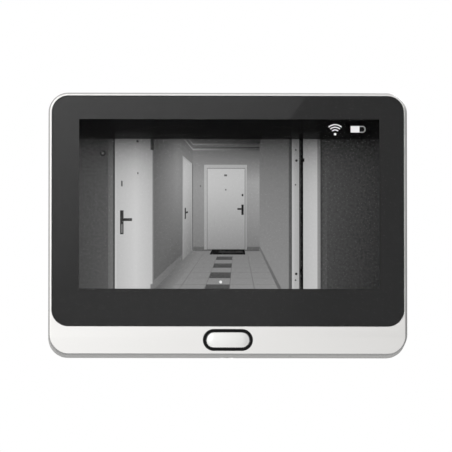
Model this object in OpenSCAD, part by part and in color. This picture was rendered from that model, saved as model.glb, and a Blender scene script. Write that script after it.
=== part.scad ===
// Peephole door camera: an indoor screen monitor on a wall plate, clamped through the
// door by a threaded barrel that carries the outdoor camera head with its bell button.
// Frame: +X to the right and +Z up for a person indoors who looks along +Y at the screen.
// The origin is on the barrel's axis, in the plane of the door's inner face.

/* [Door] */
// Thickness of the door leaf held between the wall plate and the outdoor gasket
door_t = 45; // [36:1:54]
// Pitch of the clamp thread
thread_pitch = 1; // [0.75:0.25:1.5]

/* [Monitor body] */
// Width of the monitor
body_w = 113.5; // [102:0.5:124]
// Height of the monitor
body_h = 83; // [75:0.5:92]
// Depth of the monitor, from its front face to its rear rim
body_d = 20.5; // [20:0.5:26]
// Corner radius of the monitor, seen from the front
body_r = 6.3; // [5:0.1:8]
// Rounding of the front edge
front_edge_r = 0.8; // [0.4:0.1:0.9]
// Rounding of the rear edge
rear_edge_r = 2.5; // [1:0.1:3]
// Wall thickness of the front frame and the rear cover
wall = 1.5; // [1.3:0.1:1.8]
// Depth of the front frame, from the front face to the parting line
frame_d = 6; // [5.8:0.1:6.6]
// Gap between the monitor's rear rim and the door
rim_gap = 0.5; // [0.3:0.1:1]
// Height of the white chin below the glass
chin_h = 8.7; // [8.4:0.1:9.5]

/* [Glass and screen] */
// Width of the white border beside the glass
side_margin = 1.05; // [1:0.05:1.6]
// Height of the white border above the glass
top_margin = 1.15; // [1:0.05:1.6]
// Thickness of the cover glass
glass_t = 1.1; // [0.8:0.1:1.4]
// How far the glass stands in front of the frame
glass_proud = 0.3; // [0.1:0.05:0.4]
// Thickness of the adhesive tape under the glass
tape_t = 0.25; // [0.15:0.05:0.4]
// Thickness of the ledge that carries the glass
ledge_t = 1; // [0.8:0.1:1.2]
// How far the glass reaches past the screen module at either side
lcd_side = 2.95; // [2.95:0.05:5.5]
// How far the glass reaches past the screen module above and below
lcd_end = 2.975; // [2.975:0.025:5.5]
// Thickness of the screen's liquid crystal cell
lcd_cell_t = 1.4; // [1:0.1:1.6]
// Thickness of the screen's backlight tray
backlight_t = 1.5; // [1.2:0.1:1.8]
// Gap between the cover glass and the screen
lcd_air = 0.2; // [0.1:0.05:0.3]

/* [Home button] */
// Width of the pill-shaped home button
button_w = 13.7; // [11:0.1:16]
// Height of the home button
button_h = 4.8; // [4.4:0.1:4.9]
// Width of the black ring around the home button
ring_band = 0.85; // [0.6:0.05:0.9]
// Gap between the home button and its ring
button_gap = 0.15; // [0.1:0.01:0.2]
// How far the home button stands in front of the chin
button_proud = 0.3; // [0.2:0.05:0.5]

/* [Electronics] */
// Thickness of the mid frame behind the screen
mid_t = 1.2; // [1:0.1:1.4]
// Height of the mid frame's stand-offs under the main board
standoff_h = 0.7; // [0.5:0.1:0.9]
// Thickness of the circuit boards
board_t = 1.2; // [1:0.1:1.4]
// Distance from the battery pack's ends to the monitor's sides
battery_side = 12.75; // [12.75:0.25:26]
// Gap between the battery pack and the rear cover's top wall
battery_top_gap = 3.5; // [3.5:0.25:12]
// Thickness of the battery pack
battery_t = 7.6; // [5:0.1:7.8]

/* [Wall plate and clamp] */
// Distance from the wall plate's sides to the monitor's sides
plate_side = 16.75; // [15.75:0.25:21.75]
// Distance from the wall plate's ends to the monitor's top and underside
plate_end = 6.5; // [6:0.25:11]
// Thickness of the wall plate
plate_t = 1.5; // [1.2:0.1:1.8]
// Depth of the recess in the rear cover that the wall plate sits in
recess_d = 5; // [4.9:0.1:5.4]
// Spacing of the plate's two wood screw holes
plate_screw_spacing = 54; // [40:1:60]
// Diameter of the plate's wood screw holes
plate_screw_d = 4; // [3.2:0.1:4.5]
// Wall thickness of the clamp nut's sleeve, which passes through the door
sleeve_wall = 0.94; // [0.8:0.02:1.4]
// Length of the clamp nut's sleeve behind the wall plate
sleeve_l = 28; // [24:1:30]
// Outer diameter of the camera barrel's thread
barrel_d = 12; // [11.4:0.1:13.4]
// Bore of the camera barrel, which the door cable passes through
barrel_bore = 9.4; // [8.4:0.1:9.6]
// Length of the camera barrel inside the door
barrel_l = 32; // [30:1:34]

/* [Camera head] */
// Diameter of the outdoor head
head_d = 62; // [62:0.5:70]
// Depth of the outdoor head's shell
head_depth = 16.5; // [16.5:0.5:19]
// Thickness of the foam gasket against the door
gasket_t = 1.5; // [1:0.1:2]
// Rounding of the head's front edge
head_edge_r = 1.4; // [0.8:0.1:1.5]
// Height of the lens above the barrel's axis
lens_z = 15.5; // [15.3:0.1:16]
// Diameter of the lens head
lens_d = 13.4; // [12.6:0.1:13.4]
// Height of the motion sensor's dome above the barrel's axis
pir_z = 2.8; // [2.5:0.1:3]
// Diameter of the motion sensor's dome
pir_d = 9.6; // [9:0.1:9.8]
// Depth of the bell button's centre below the barrel's axis
bell_drop = 14; // [13.7:0.1:14.2]
// Diameter of the bell button
bell_d = 16.6; // [14:0.1:16.8]

/* [Hidden] */
$fn = 64;
hull_fn = 40;
edge_steps = 5;
dome_steps = 8;

// Clearances shared by pieces that fit together
slip = 0.1;
seat_gap = 0.05;
running_gap = 0.06;
overcut = 1;

// Planes of the monitor, from the glass back to the door, along Y
y_rear = -rim_gap;
y_front = y_rear - body_d;
y_split = y_front + frame_d;
y_glass_front = y_front - glass_proud;
y_glass_back = y_glass_front + glass_t;
y_ledge_front = y_glass_back + tape_t;
y_ledge_back = y_ledge_front + ledge_t;
y_lcd_front = y_glass_back + lcd_air;
y_cell_back = y_lcd_front + lcd_cell_t;
y_mid_front = y_cell_back + backlight_t;
y_mid_back = y_mid_front + mid_t;
y_board_front = y_mid_back + standoff_h;
y_board_back = y_board_front + board_t;
y_recess = y_rear - recess_d;
y_recess_inner = y_recess - wall;
y_back_inner = y_rear - wall;
y_plate_front = -plate_t;

// Outlines of the monitor, seen from the front
half_w = body_w / 2;
half_h = body_h / 2;
inner_half_w = half_w - wall;
inner_half_h = half_h - wall;
inner_r = body_r - wall;
glass_w = body_w - 2 * side_margin;
glass_h = body_h - top_margin - chin_h;
glass_r = body_r - side_margin;
glass_z = (chin_h - top_margin) / 2;
lcd_w = glass_w - 2 * lcd_side;
lcd_h = glass_h - 2 * lcd_end;
lcd_clear = 0.3;
lip_t = 0.6;
lip_l = 1.5;
lip_root = 0.8;
lip_half_w = inner_half_w - slip - lip_t;
lip_half_h = inner_half_h - slip - lip_t;
mid_clear = 0.3;
mid_half_w = lip_half_w - mid_clear;
mid_half_h = lip_half_h - mid_clear;
mid_r = inner_r - slip - lip_t - mid_clear;

// Home button and its switch
button_z = -half_h + chin_h / 2;
ring_in_w = button_w + 2 * button_gap;
ring_in_h = button_h + 2 * button_gap;
ring_out_w = ring_in_w + 2 * ring_band;
ring_out_h = ring_in_h + 2 * ring_band;
key_lip_w = 0.7;
key_lip_t = 0.8;
key_post_d = 3;
y_key_lip = y_ledge_back + seat_gap;
y_key_back = y_key_lip + key_lip_t;
home_travel = 0.5;
switch_t = 1.7;
switch_w = 6;
switch_h = 3.4;
plunger_d = 1.8;
plunger_l = 0.9;
y_switch = y_board_front - switch_t;
plunger_sink = 0.3;
y_plunger = y_switch - plunger_l + plunger_sink;
switch_window_gap = 1.3;
switch_window_h = switch_h + 2 * switch_window_gap;
tongue_half_w = 12;
tongue_drop = 1.85;
tongue_root = 1;

// Screws: a pan head and a shank, with a seat gap in their holes
m2_d = 1.9;
m2_head_d = 3.6;
m2_head_t = 1.2;
m2_hole_d = m2_d + 2 * seat_gap;
m2_free_d = 2.4;

// Rear cover screws into the mid frame's bosses
rear_screw_side = 8.2;
rear_screw_edge = 9.5;
rear_screw_x = half_w - rear_screw_side;
rear_screw_z = half_h - rear_screw_edge;
rear_boss_d = 6;
rear_well_d = 7;
rear_counterbore_d = 4.6;
rear_web = 1.8;
rear_boss_h = 4.2;
y_rear_boss = y_board_back + rear_boss_h;
y_rear_seat = y_rear_boss + rear_web;
rear_screw_l = 6.5;

// Frame screws at the chin, into the front frame's posts
frame_screw_x = 30;
frame_screw_z = button_z;
frame_post_d = 4.4;
frame_screw_l = 3.6;
rib_w = 6;
rib_side = 16.75;
rib_x = half_w - rib_side;
rib_h = 1.9;

// Main board and what it carries
board_side_gap = 2.2;
board_half_w = inner_half_w - board_side_gap;
board_chin_gap = 3.2;
board_bottom = button_z + board_chin_gap;
board_corner_gap = 0.5;
board_corner_room = rear_well_d / 2 + board_corner_gap;
socket_gap = 1.53;
usb_w = 8.94;
usb_z = -rear_screw_z + board_corner_room + socket_gap + usb_w / 2;
card_w = 14;
card_z = usb_z + usb_w / 2 + socket_gap + card_w / 2;
board_screw_side = 16.75;
board_screw_x = half_w - board_screw_side;
board_screw_edge = 5.5;
board_screw_low = board_bottom + board_screw_edge;
board_screw_clear = 2.5;
board_screw_high = card_z + card_w / 2 + board_screw_clear;
board_top = board_screw_high + board_screw_edge;
board_screw_l = 2.6;
standoff_d = 5;
shield_size = [24, 2.5, 18];
shield_x = -20;
shield_rise = 19.95;
shield_z = board_bottom + shield_rise;
wifi_size = [13, 2, 12];
wifi_x = 16;
wifi_rise = 17.95;
wifi_z = board_bottom + wifi_rise;
usb_t = 3.26;
usb_l = 7.35;
usb_wall = 0.35;
usb_tongue_w = 6.6;
usb_tongue_t = 0.7;
usb_tongue_setback = 1.2;
usb_setback = 1;
port_clear = 0.3;
card_l = 15;
card_t = 1.5;
card_back = 1;
card_wall_gap = 0.2;
card_slot_w = 11.6;
card_slot_t = 0.9;
cable_socket_size = [10, 3, 6];
cable_plug_size = [9, 3, 5];
cable_w = 5;
cable_t = 0.8;
cable_waves = 3;
cable_steps = 96;
cable_bore_gap = 0.4;
cable_straight = 0.16;
cable_swing = sqrt(pow(barrel_bore / 2, 2) - pow(cable_w / 2, 2)) - cable_t / 2 - cable_bore_gap;
battery_r = 2.5;
battery_gap = 1.5;
battery_tape_t = 0.2;
battery_tape_edge = 4;
battery_w = body_w - 2 * battery_side;
battery_h = inner_half_h - battery_top_gap - battery_gap - board_top;
battery_z = board_top + battery_gap + battery_h / 2;
antenna_size = [40, 5, 0.2];
antenna_gap = 0.3;
y_antenna = y_split + lip_root + antenna_gap;
speaker_size = [5, 8.4, 30];
speaker_z = -4;
speaker_slot_count = 7;
speaker_slot_pitch = 3.4;
speaker_slot_w = 1.4;
speaker_slot_l = 5.6;
speaker_gap = 1.4;
y_speaker = y_board_back + speaker_gap;
microphone_size = [6, 4, 2.2];
microphone_x = 20;
microphone_hole_d = 1;
microphone_gap = 2;
y_microphone = y_board_back + microphone_gap;

// Wall plate, its side hooks and the recess that they slide into
plate_clear = 1.2;
plate_r = 3;
plate_w = body_w - 2 * plate_side;
plate_h = body_h - 2 * plate_end;
recess_w = plate_w + 2 * plate_clear;
recess_h = plate_h + 2 * plate_clear;
recess_r = plate_r + plate_clear;
hook_end = 17;
hook_z = plate_h / 2 - hook_end;
hook_l = 10;
hook_t = 1.2;
hook_clear = 0.3;
hook_floor_gap = 0.5;
hook_reach = recess_d + rim_gap - plate_t - hook_floor_gap;
hook_lip = plate_clear + wall - hook_clear;
hook_travel = 11;
lock_tab_w = 10;
lock_d = 2.4;
lock_head_d = 4.4;
lock_head_t = 1.5;
lock_block_w = 8;
lock_offset = 1.9;
lock_inset = 1.6;
lock_tip = 0.8;
y_lock = y_plate_front - lock_offset;
lock_head_z = -half_h + lock_inset;
lock_tip_z = -plate_h / 2 + plate_t + lock_tip;
cable_port_w = 12;
cable_port_h = 8;

// Clamp nut
nut_flange_d = 24;
nut_flange_t = 2.2;
nut_notches = 6;
nut_notch_w = 2.6;
nut_notch_depth = 1.4;
y_nut = y_plate_front - seat_gap;
nut_bore = barrel_d + 2 * running_gap;
sleeve_d = nut_bore + 2 * sleeve_wall;
sleeve_clear = 0.3;
sleeve_hole_d = sleeve_d + 2 * sleeve_clear;

// Planes of the outdoor head, along Y
y_base = door_t + gasket_t;
base_t = 2;
y_base_front = y_base + base_t;
seal_t = 0.8;
y_seal = y_base_front + seal_t;
y_head_front = y_base + head_depth;
panel_t = 2;
panel_inset = 0.2;
y_panel_front = y_head_front - panel_inset;
y_panel_back = y_panel_front - panel_t;
shell_ledge_t = 1.2;
head_post_h = 3;
y_head_board = y_base_front + head_post_h;
y_head_board_front = y_head_board + board_t;

// Radii of the outdoor head
head_r = head_d / 2;
head_rim = 3;
panel_recess_r = head_r - head_rim;
panel_r = panel_recess_r - slip;
panel_ledge_w = 3;
panel_ledge_r = panel_recess_r - panel_ledge_w;
shell_wall = 2.2;
base_seat_r = head_r - shell_wall;
base_r = base_seat_r - slip;
seal_w = 1.6;
shell_in_r = base_seat_r - seal_w;
head_boss_d = 5.2;
head_boss_inset = 2.4;
head_boss_r = shell_in_r - head_boss_inset;
head_boss_gap = 3.8;
head_boss_top = y_panel_back - head_boss_gap;
head_boss_room = 0.5;
head_boss_angles = [30, 150, 270];
head_screw_l = 6;
base_counterbore = 1.3;
head_board_gap = 1.2;
head_board_r = shell_in_r - head_board_gap;
head_post_d = 3.6;
head_post_r = 19.5;
head_post_angles = [0, 180, 270];
stake_d = 1.7;
stake_h = 0.5;
barrel_flange_d = 20.4;
barrel_flange_t = 1.5;
barrel_screw_r = 7.9;
barrel_screw_l = 2.8;
barrel_screw_head_t = 1;
barrel_screw_head_d = 3.2;
barrel_screw_angles = [90, 210, 330];
thread_depth = 0.5;
thread_margin = 2;

// Camera module
holder_size = 15;
holder_l = 6.3;
sensor_size = 8;
sensor_t = 0.9;
lens_thread_d = 12;
y_holder_front = y_head_board_front + holder_l;
lens_engage = 3;
y_lens_back = y_holder_front - lens_engage;
lens_head_sink = 0.2;
y_lens_head = y_panel_back - lens_head_sink;
lens_head_l = 3.4;
y_lens_tip = y_lens_head + lens_head_l;
lens_bezel = 1.6;
lens_front_d = lens_d - 2 * lens_bezel;
lens_front_radius = 6.6;
lens_front_seat = 1.6;
lens_front_rim = 0.6;
lens_panel_gap = 0.2;
sensor_room = 0.5;
chamber_roof = 0.4;
lens_mid_bore = 7;
lens_rear_d = 8;
lens_rear_t = 1.5;
lens_rear_pocket = 2;
filter_slot_t = 1;
filter_slot_h = 7.6;
filter_t = 0.7;
filter_h = 7.2;
filter_l = 13;
filter_step = 6;
filter_pane = 5;
filter_pane_t = 0.5;
filter_lens_gap = 0.6;
y_filter_slot = y_lens_back - filter_lens_gap - filter_slot_t;
y_filter = y_filter_slot + (filter_slot_t - filter_t) / 2;

// Infrared lamps, motion sensor, bell and sound
led_d = 5;
led_x = 14;
led_drop = 2.5;
led_z = lens_z - led_drop;
led_clear = 0.2;
led_inset = 0.3;
y_led_tip = y_panel_front - led_inset;
pir_flange = 0.9;
pir_flange_t = 0.8;
pir_wall = 0.7;
pir_dome_h = 2.2;
pir_can_d = 8.1;
pir_can_h = 4.2;
pir_can_rim_d = 9.1;
pir_can_rim_t = 0.6;
bell_z = -bell_drop;
bell_gap = 0.2;
bell_ring_band = 1.7;
bell_ring_in_d = bell_d + 2 * bell_gap;
bell_ring_d = bell_ring_in_d + 2 * bell_ring_band;
bell_flange = 0.3;
bell_flange_t = 0.95;
y_bell_ring_back = y_panel_back - bell_flange_t - seat_gap;
bell_proud = 0.4;
y_bell_front = y_head_front + bell_proud;
bell_lip = 0.9;
bell_lip_t = 0.9;
y_bell_lip = y_bell_ring_back - seat_gap;
y_bell_back = y_bell_lip - bell_lip_t;
bell_travel = 0.6;
bell_switch_size = [6, 3.5, 6];
bell_plunger_d = 3.4;
bell_plunger_l = 1.4;
bell_stem_d = 4;
y_bell_switch_front = y_head_board_front + bell_switch_size[1];
bell_plunger_sink = 0.4;
y_bell_plunger_tip = y_bell_switch_front + bell_plunger_l - bell_plunger_sink;
sound_x = 17.5;
sound_z = -2;
bell_speaker_size = [10, 3.6, 14];
bell_mic_d = 4;
bell_mic_t = 2;
sound_hole_d = 1.2;
sound_hole_pitch = 2.4;
head_socket_size = [8, 1.4, 4];

// Extrudes a flat outline, drawn in X and Z, from y0 to y1
module slab(y0, y1) {
    translate([0, y1, 0]) rotate([90, 0, 0]) linear_extrude(height = y1 - y0) children();
}

// A round rod along Y
module rod(d, y0, y1) {
    translate([0, y1, 0]) rotate([90, 0, 0]) cylinder(d = d, h = y1 - y0);
}

// A box by its middle in X and Z, and by its faces along Y
module block(w, h, y0, y1) {
    translate([-w / 2, y0, -h / 2]) cube([w, y1 - y0, h]);
}

module rounded_rect(w, h, r) {
    square([w - 2 * r, h], center = true);
    square([w, h - 2 * r], center = true);
    for (sx = [-1, 1], sz = [-1, 1])
        translate([sx * (w / 2 - r), sz * (h / 2 - r)]) circle(r = r);
}

module pill(w, h) {
    square([w - h, h], center = true);
    for (s = [-1, 1]) translate([s * (w - h) / 2, 0]) circle(d = h);
}

// Points on an arc, for a rounded rim or a dome
function arc(cx, cy, r, a0, a1, steps = edge_steps) =
    [for (i = [0:steps]) let (a = a0 + (a1 - a0) * i / steps) [cx + r * cos(a), cy + r * sin(a)]];

// A box with round corners whose front and rear rims are rounded by front_r and rear_r
module soft_block(w, h, r, y0, y1, front_r, rear_r) {
    l = y1 - y0;
    rear = rear_r > 0 ? arc(r - rear_r, rear_r, rear_r, -90, 0) : [[r, 0]];
    front = front_r > 0 ? arc(r - front_r, l - front_r, front_r, 0, 90) : [[r, l]];
    hull() for (sx = [-1, 1], sz = [-1, 1])
        translate([sx * (w / 2 - r), y1, sz * (h / 2 - r)]) rotate([90, 0, 0])
            rotate_extrude($fn = hull_fn) polygon(concat([[0, 0]], rear, front, [[0, l]]));
}

// A pan-head screw that points towards -Y, with the underside of its head at y_seat
module screw_in(d, l, head_d, head_t, y_seat) {
    rod(d, y_seat - l, y_seat);
    rod(head_d, y_seat, y_seat + head_t);
}

// A pan-head screw that points towards +Y, with the underside of its head at y_seat
module screw_out(d, l, head_d, head_t, y_seat) {
    rod(d, y_seat, y_seat + l);
    rod(head_d, y_seat - head_t, y_seat);
}

module at_angles(angles, r) {
    for (a = angles) translate([r * cos(a), 0, r * sin(a)]) children();
}

module at_corners(x, z) {
    for (sx = [-1, 1], sz = [-1, 1]) translate([sx * x, 0, sz * z]) children();
}

// Front frame: the white border and chin, with the ledge that carries the glass
module front_frame() {
    color([0.93, 0.93, 0.92]) difference() {
        union() {
            difference() {
                soft_block(body_w, body_h, body_r, y_front, y_split, front_edge_r, 0);
                slab(y_ledge_back, y_split + overcut)
                    rounded_rect(2 * inner_half_w, 2 * inner_half_h, inner_r);
                translate([0, 0, glass_z]) {
                    slab(y_front - overcut, y_ledge_front)
                        rounded_rect(glass_w + 2 * slip, glass_h + 2 * slip, glass_r + slip);
                    block(lcd_w + 2 * lcd_clear, lcd_h + 2 * lcd_clear, y_front, y_split);
                }
            }
            for (s = [-1, 1]) {
                translate([s * frame_screw_x, 0, frame_screw_z])
                    rod(frame_post_d, y_ledge_back - ledge_t / 2, y_mid_front);
                translate([s * rib_x, 0, inner_half_h + (wall - 2 * rib_h) / 4])
                    block(rib_w, rib_h + wall / 2, y_ledge_back - ledge_t / 2, y_mid_front);
            }
        }
        translate([0, 0, button_z]) slab(y_front - overcut, y_ledge_back + overcut)
            pill(ring_out_w + 2 * seat_gap, ring_out_h + 2 * seat_gap);
        for (s = [-1, 1]) translate([s * frame_screw_x, 0, frame_screw_z])
            rod(m2_hole_d, y_mid_back - frame_screw_l - slip, y_mid_front + overcut);
    }
}

module cover_glass() {
    color([0.08, 0.08, 0.09, 0.6]) translate([0, 0, glass_z]) slab(y_glass_front, y_glass_back)
        rounded_rect(glass_w, glass_h, glass_r);
}

// Adhesive tape between the glass and the ledge
module glass_tape() {
    color([0.1, 0.1, 0.1]) translate([0, 0, glass_z]) difference() {
        slab(y_glass_back, y_ledge_front) rounded_rect(glass_w, glass_h, glass_r);
        block(lcd_w + 2 * lcd_clear, lcd_h + 2 * lcd_clear, y_glass_back - overcut, y_ledge_front + overcut);
    }
}

module lcd_panel() {
    color([0.3, 0.3, 0.32]) translate([0, 0, glass_z]) block(lcd_w, lcd_h, y_lcd_front, y_cell_back);
}

module lcd_backlight() {
    color([0.75, 0.76, 0.78]) translate([0, 0, glass_z]) block(lcd_w, lcd_h, y_cell_back, y_mid_front);
}

// Mid frame: holds the screen against the ledge and carries the board, battery and rear cover
module mid_frame() {
    color([0.16, 0.16, 0.17]) difference() {
        union() {
            slab(y_mid_front, y_mid_back) rounded_rect(2 * mid_half_w, 2 * mid_half_h, mid_r);
            at_corners(rear_screw_x, rear_screw_z) rod(rear_boss_d, y_mid_front, y_rear_boss);
            for (s = [-1, 1], z = [board_screw_low, board_screw_high])
                translate([s * board_screw_x, 0, z]) rod(standoff_d, y_mid_front, y_board_front);
        }
        at_corners(rear_screw_x, rear_screw_z)
            rod(m2_hole_d, y_rear_seat - rear_screw_l - slip, y_rear_boss + overcut);
        for (s = [-1, 1]) {
            translate([s * frame_screw_x, 0, frame_screw_z])
                rod(m2_free_d, y_mid_front - overcut, y_mid_back + overcut);
            for (z = [board_screw_low, board_screw_high]) translate([s * board_screw_x, 0, z])
                rod(m2_hole_d, y_mid_front - overcut, y_board_front + overcut);
        }
        translate([0, 0, button_z])
            block(2 * tongue_half_w, switch_window_h, y_mid_front - overcut, y_mid_back + overcut);
    }
}

module frame_screws() {
    color("silver") for (s = [-1, 1]) translate([s * frame_screw_x, 0, frame_screw_z])
        screw_in(m2_d, frame_screw_l, m2_head_d, m2_head_t, y_mid_back);
}

// Main circuit board, with a tongue behind the home button
module main_board() {
    color([0.05, 0.32, 0.16]) difference() {
        union() {
            translate([0, 0, (board_top + board_bottom) / 2])
                block(2 * board_half_w, board_top - board_bottom, y_board_front, y_board_back);
            translate([-tongue_half_w, y_board_front, button_z - tongue_drop])
                cube([2 * tongue_half_w, board_t, board_bottom - button_z + tongue_drop + tongue_root]);
        }
        for (s = [-1, 1]) {
            translate([s * (rear_screw_x + half_w) / 2, 0, -(rear_screw_z + half_h) / 2])
                block(rear_screw_side + 2 * board_corner_room, rear_screw_edge + 2 * board_corner_room,
                      y_board_front - overcut, y_board_back + overcut);
            for (z = [board_screw_low, board_screw_high]) translate([s * board_screw_x, 0, z])
                rod(m2_free_d, y_board_front - overcut, y_board_back + overcut);
        }
    }
}

module board_screws() {
    color("silver") for (s = [-1, 1], z = [board_screw_low, board_screw_high])
        translate([s * board_screw_x, 0, z])
            screw_in(m2_d, board_screw_l, m2_head_d, m2_head_t, y_board_back);
}

module processor_shield() {
    color([0.8, 0.8, 0.82]) translate([shield_x, 0, shield_z])
        block(shield_size[0], shield_size[2], y_board_back, y_board_back + shield_size[1]);
}

module wifi_module() {
    color([0.62, 0.64, 0.66]) translate([wifi_x, 0, wifi_z])
        block(wifi_size[0], wifi_size[2], y_board_back, y_board_back + wifi_size[1]);
}

// Aerial strip stuck under the rear cover's top wall
module wifi_antenna() {
    color([0.75, 0.55, 0.2]) translate([0, 0, inner_half_h - antenna_size[2] / 2])
        block(antenna_size[0], antenna_size[2], y_antenna, y_antenna + antenna_size[1]);
}

module battery() {
    y0 = y_mid_back + battery_tape_t;
    color([0.25, 0.35, 0.6]) translate([0, 0, battery_z])
        slab(y0, y0 + battery_t) rounded_rect(battery_w, battery_h, battery_r);
}

module battery_tape() {
    color([0.9, 0.9, 0.85]) translate([0, 0, battery_z])
        block(battery_w - 2 * battery_tape_edge, battery_h - 2 * battery_tape_edge,
              y_mid_back, y_mid_back + battery_tape_t);
}

// Loudspeaker against the left wall, behind its slots
module speaker() {
    color([0.12, 0.12, 0.12]) translate([-inner_half_w + speaker_size[0] / 2, 0, speaker_z])
        block(speaker_size[0], speaker_size[2], y_speaker, y_speaker + speaker_size[1]);
}

module microphone() {
    color([0.2, 0.2, 0.2]) translate([microphone_x, 0, -inner_half_h + microphone_size[2] / 2])
        block(microphone_size[0], microphone_size[2], y_microphone, y_microphone + microphone_size[1]);
}

module home_button_ring() {
    color([0.04, 0.04, 0.04]) translate([0, 0, button_z]) difference() {
        slab(y_front, y_ledge_back) pill(ring_out_w, ring_out_h);
        slab(y_front - overcut, y_ledge_back + overcut) pill(ring_in_w, ring_in_h);
    }
}

// Home button: the key cap, the lips that keep it behind the ring, and its post
module home_button() {
    color([0.92, 0.92, 0.91]) translate([0, 0, button_z]) {
        slab(y_front - button_proud, y_key_back) pill(button_w, button_h);
        slab(y_key_lip, y_key_back) pill(ring_in_w + 2 * key_lip_w, ring_in_h);
        rod(key_post_d, y_key_back - key_lip_t / 2, y_plunger);
    }
}

module home_switch_plunger() {
    color([0.85, 0.8, 0.7]) translate([0, 0, button_z]) rod(plunger_d, y_plunger, y_plunger + plunger_l);
}

module home_switch() {
    color([0.7, 0.7, 0.72]) translate([0, 0, button_z]) difference() {
        block(switch_w, switch_h, y_switch, y_board_front);
        rod(plunger_d + 2 * seat_gap, y_switch - overcut, y_switch + plunger_l + home_travel);
    }
}

// Charging socket: a pill-shaped tube with a contact tongue, open towards the right side
module usb_socket() {
    x0 = half_w - usb_setback - usb_l;
    color([0.7, 0.7, 0.72]) translate([x0, y_board_back + usb_t / 2, usb_z]) {
        difference() {
            rotate([0, 90, 0]) linear_extrude(height = usb_l) pill(usb_w, usb_t);
            translate([usb_wall, 0, 0]) rotate([0, 90, 0]) linear_extrude(height = usb_l)
                pill(usb_w - 2 * usb_wall, usb_t - 2 * usb_wall);
        }
        translate([usb_wall / 2, -usb_tongue_t / 2, -usb_tongue_w / 2])
            cube([usb_l - usb_tongue_setback, usb_tongue_t, usb_tongue_w]);
    }
}

// Memory card socket: a flat can with a slot towards the right side
module card_socket() {
    x1 = lip_half_w - card_wall_gap;
    color([0.66, 0.66, 0.68]) translate([x1 - card_l, y_board_back, card_z]) difference() {
        translate([0, 0, -card_w / 2]) cube([card_l, card_t, card_w]);
        translate([card_back, (card_t - card_slot_t) / 2, -card_slot_w / 2])
            cube([card_l, card_slot_t, card_slot_w]);
    }
}

module door_cable_socket() {
    color([0.9, 0.88, 0.8])
        block(cable_socket_size[0], cable_socket_size[2], y_board_back, y_board_back + cable_socket_size[1]);
}

module door_cable_plug() {
    y0 = y_board_back + cable_socket_size[1];
    color([0.95, 0.93, 0.88]) block(cable_plug_size[0], cable_plug_size[2], y0, y0 + cable_plug_size[1]);
}

// Height of the door cable above the barrel's axis, at a share of its way: waves that die out at both ends
function cable_rise(share) =
    let (
        near = min(1, min(share, 1 - share) / cable_straight),
        fade = near * near * (3 - 2 * near)
    )
    cable_swing * fade * sin(360 * cable_waves * share);

// Flat cable from the monitor, through the barrel, to the camera head, with slack for a thicker door
module door_cable() {
    y0 = y_board_back + cable_socket_size[1] + cable_plug_size[1];
    y1 = y_head_board - head_socket_size[1];
    path = [for (i = [0:cable_steps]) [y0 + (y1 - y0) * i / cable_steps, cable_rise(i / cable_steps)]];
    slope = [for (i = [0:cable_steps]) path[min(i + 1, cable_steps)] - path[max(i - 1, 0)]];
    side = [for (d = slope) [-d[1], d[0]] * cable_t / 2 / norm(d)];
    above = [for (i = [0:cable_steps]) path[i] + side[i]];
    below = [for (i = [cable_steps:-1:0]) path[i] - side[i]];
    color([0.85, 0.85, 0.82])
        rotate([90, 0, 90])
            linear_extrude(cable_w, center = true)
                polygon(concat(above, below));
}

// The slots in one side wall of the recess that the plate's hooks enter and slide down
module hook_slots() {
    for (s = [-1, 1], z = [-hook_z, hook_z]) {
        x0 = s > 0 ? recess_w / 2 - slip : -recess_w / 2 - wall - slip;
        z0 = z - hook_l / 2 - hook_clear;
        z1 = z + hook_l / 2 + hook_clear;
        translate([x0, y_recess, z0 - hook_travel])
            cube([wall + 2 * slip, hook_t + hook_floor_gap + hook_clear, z1 - z0 + hook_travel]);
        translate([x0, y_recess, z0 - hook_travel])
            cube([wall + 2 * slip, recess_d + overcut, z1 - z0]);
    }
}

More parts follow.
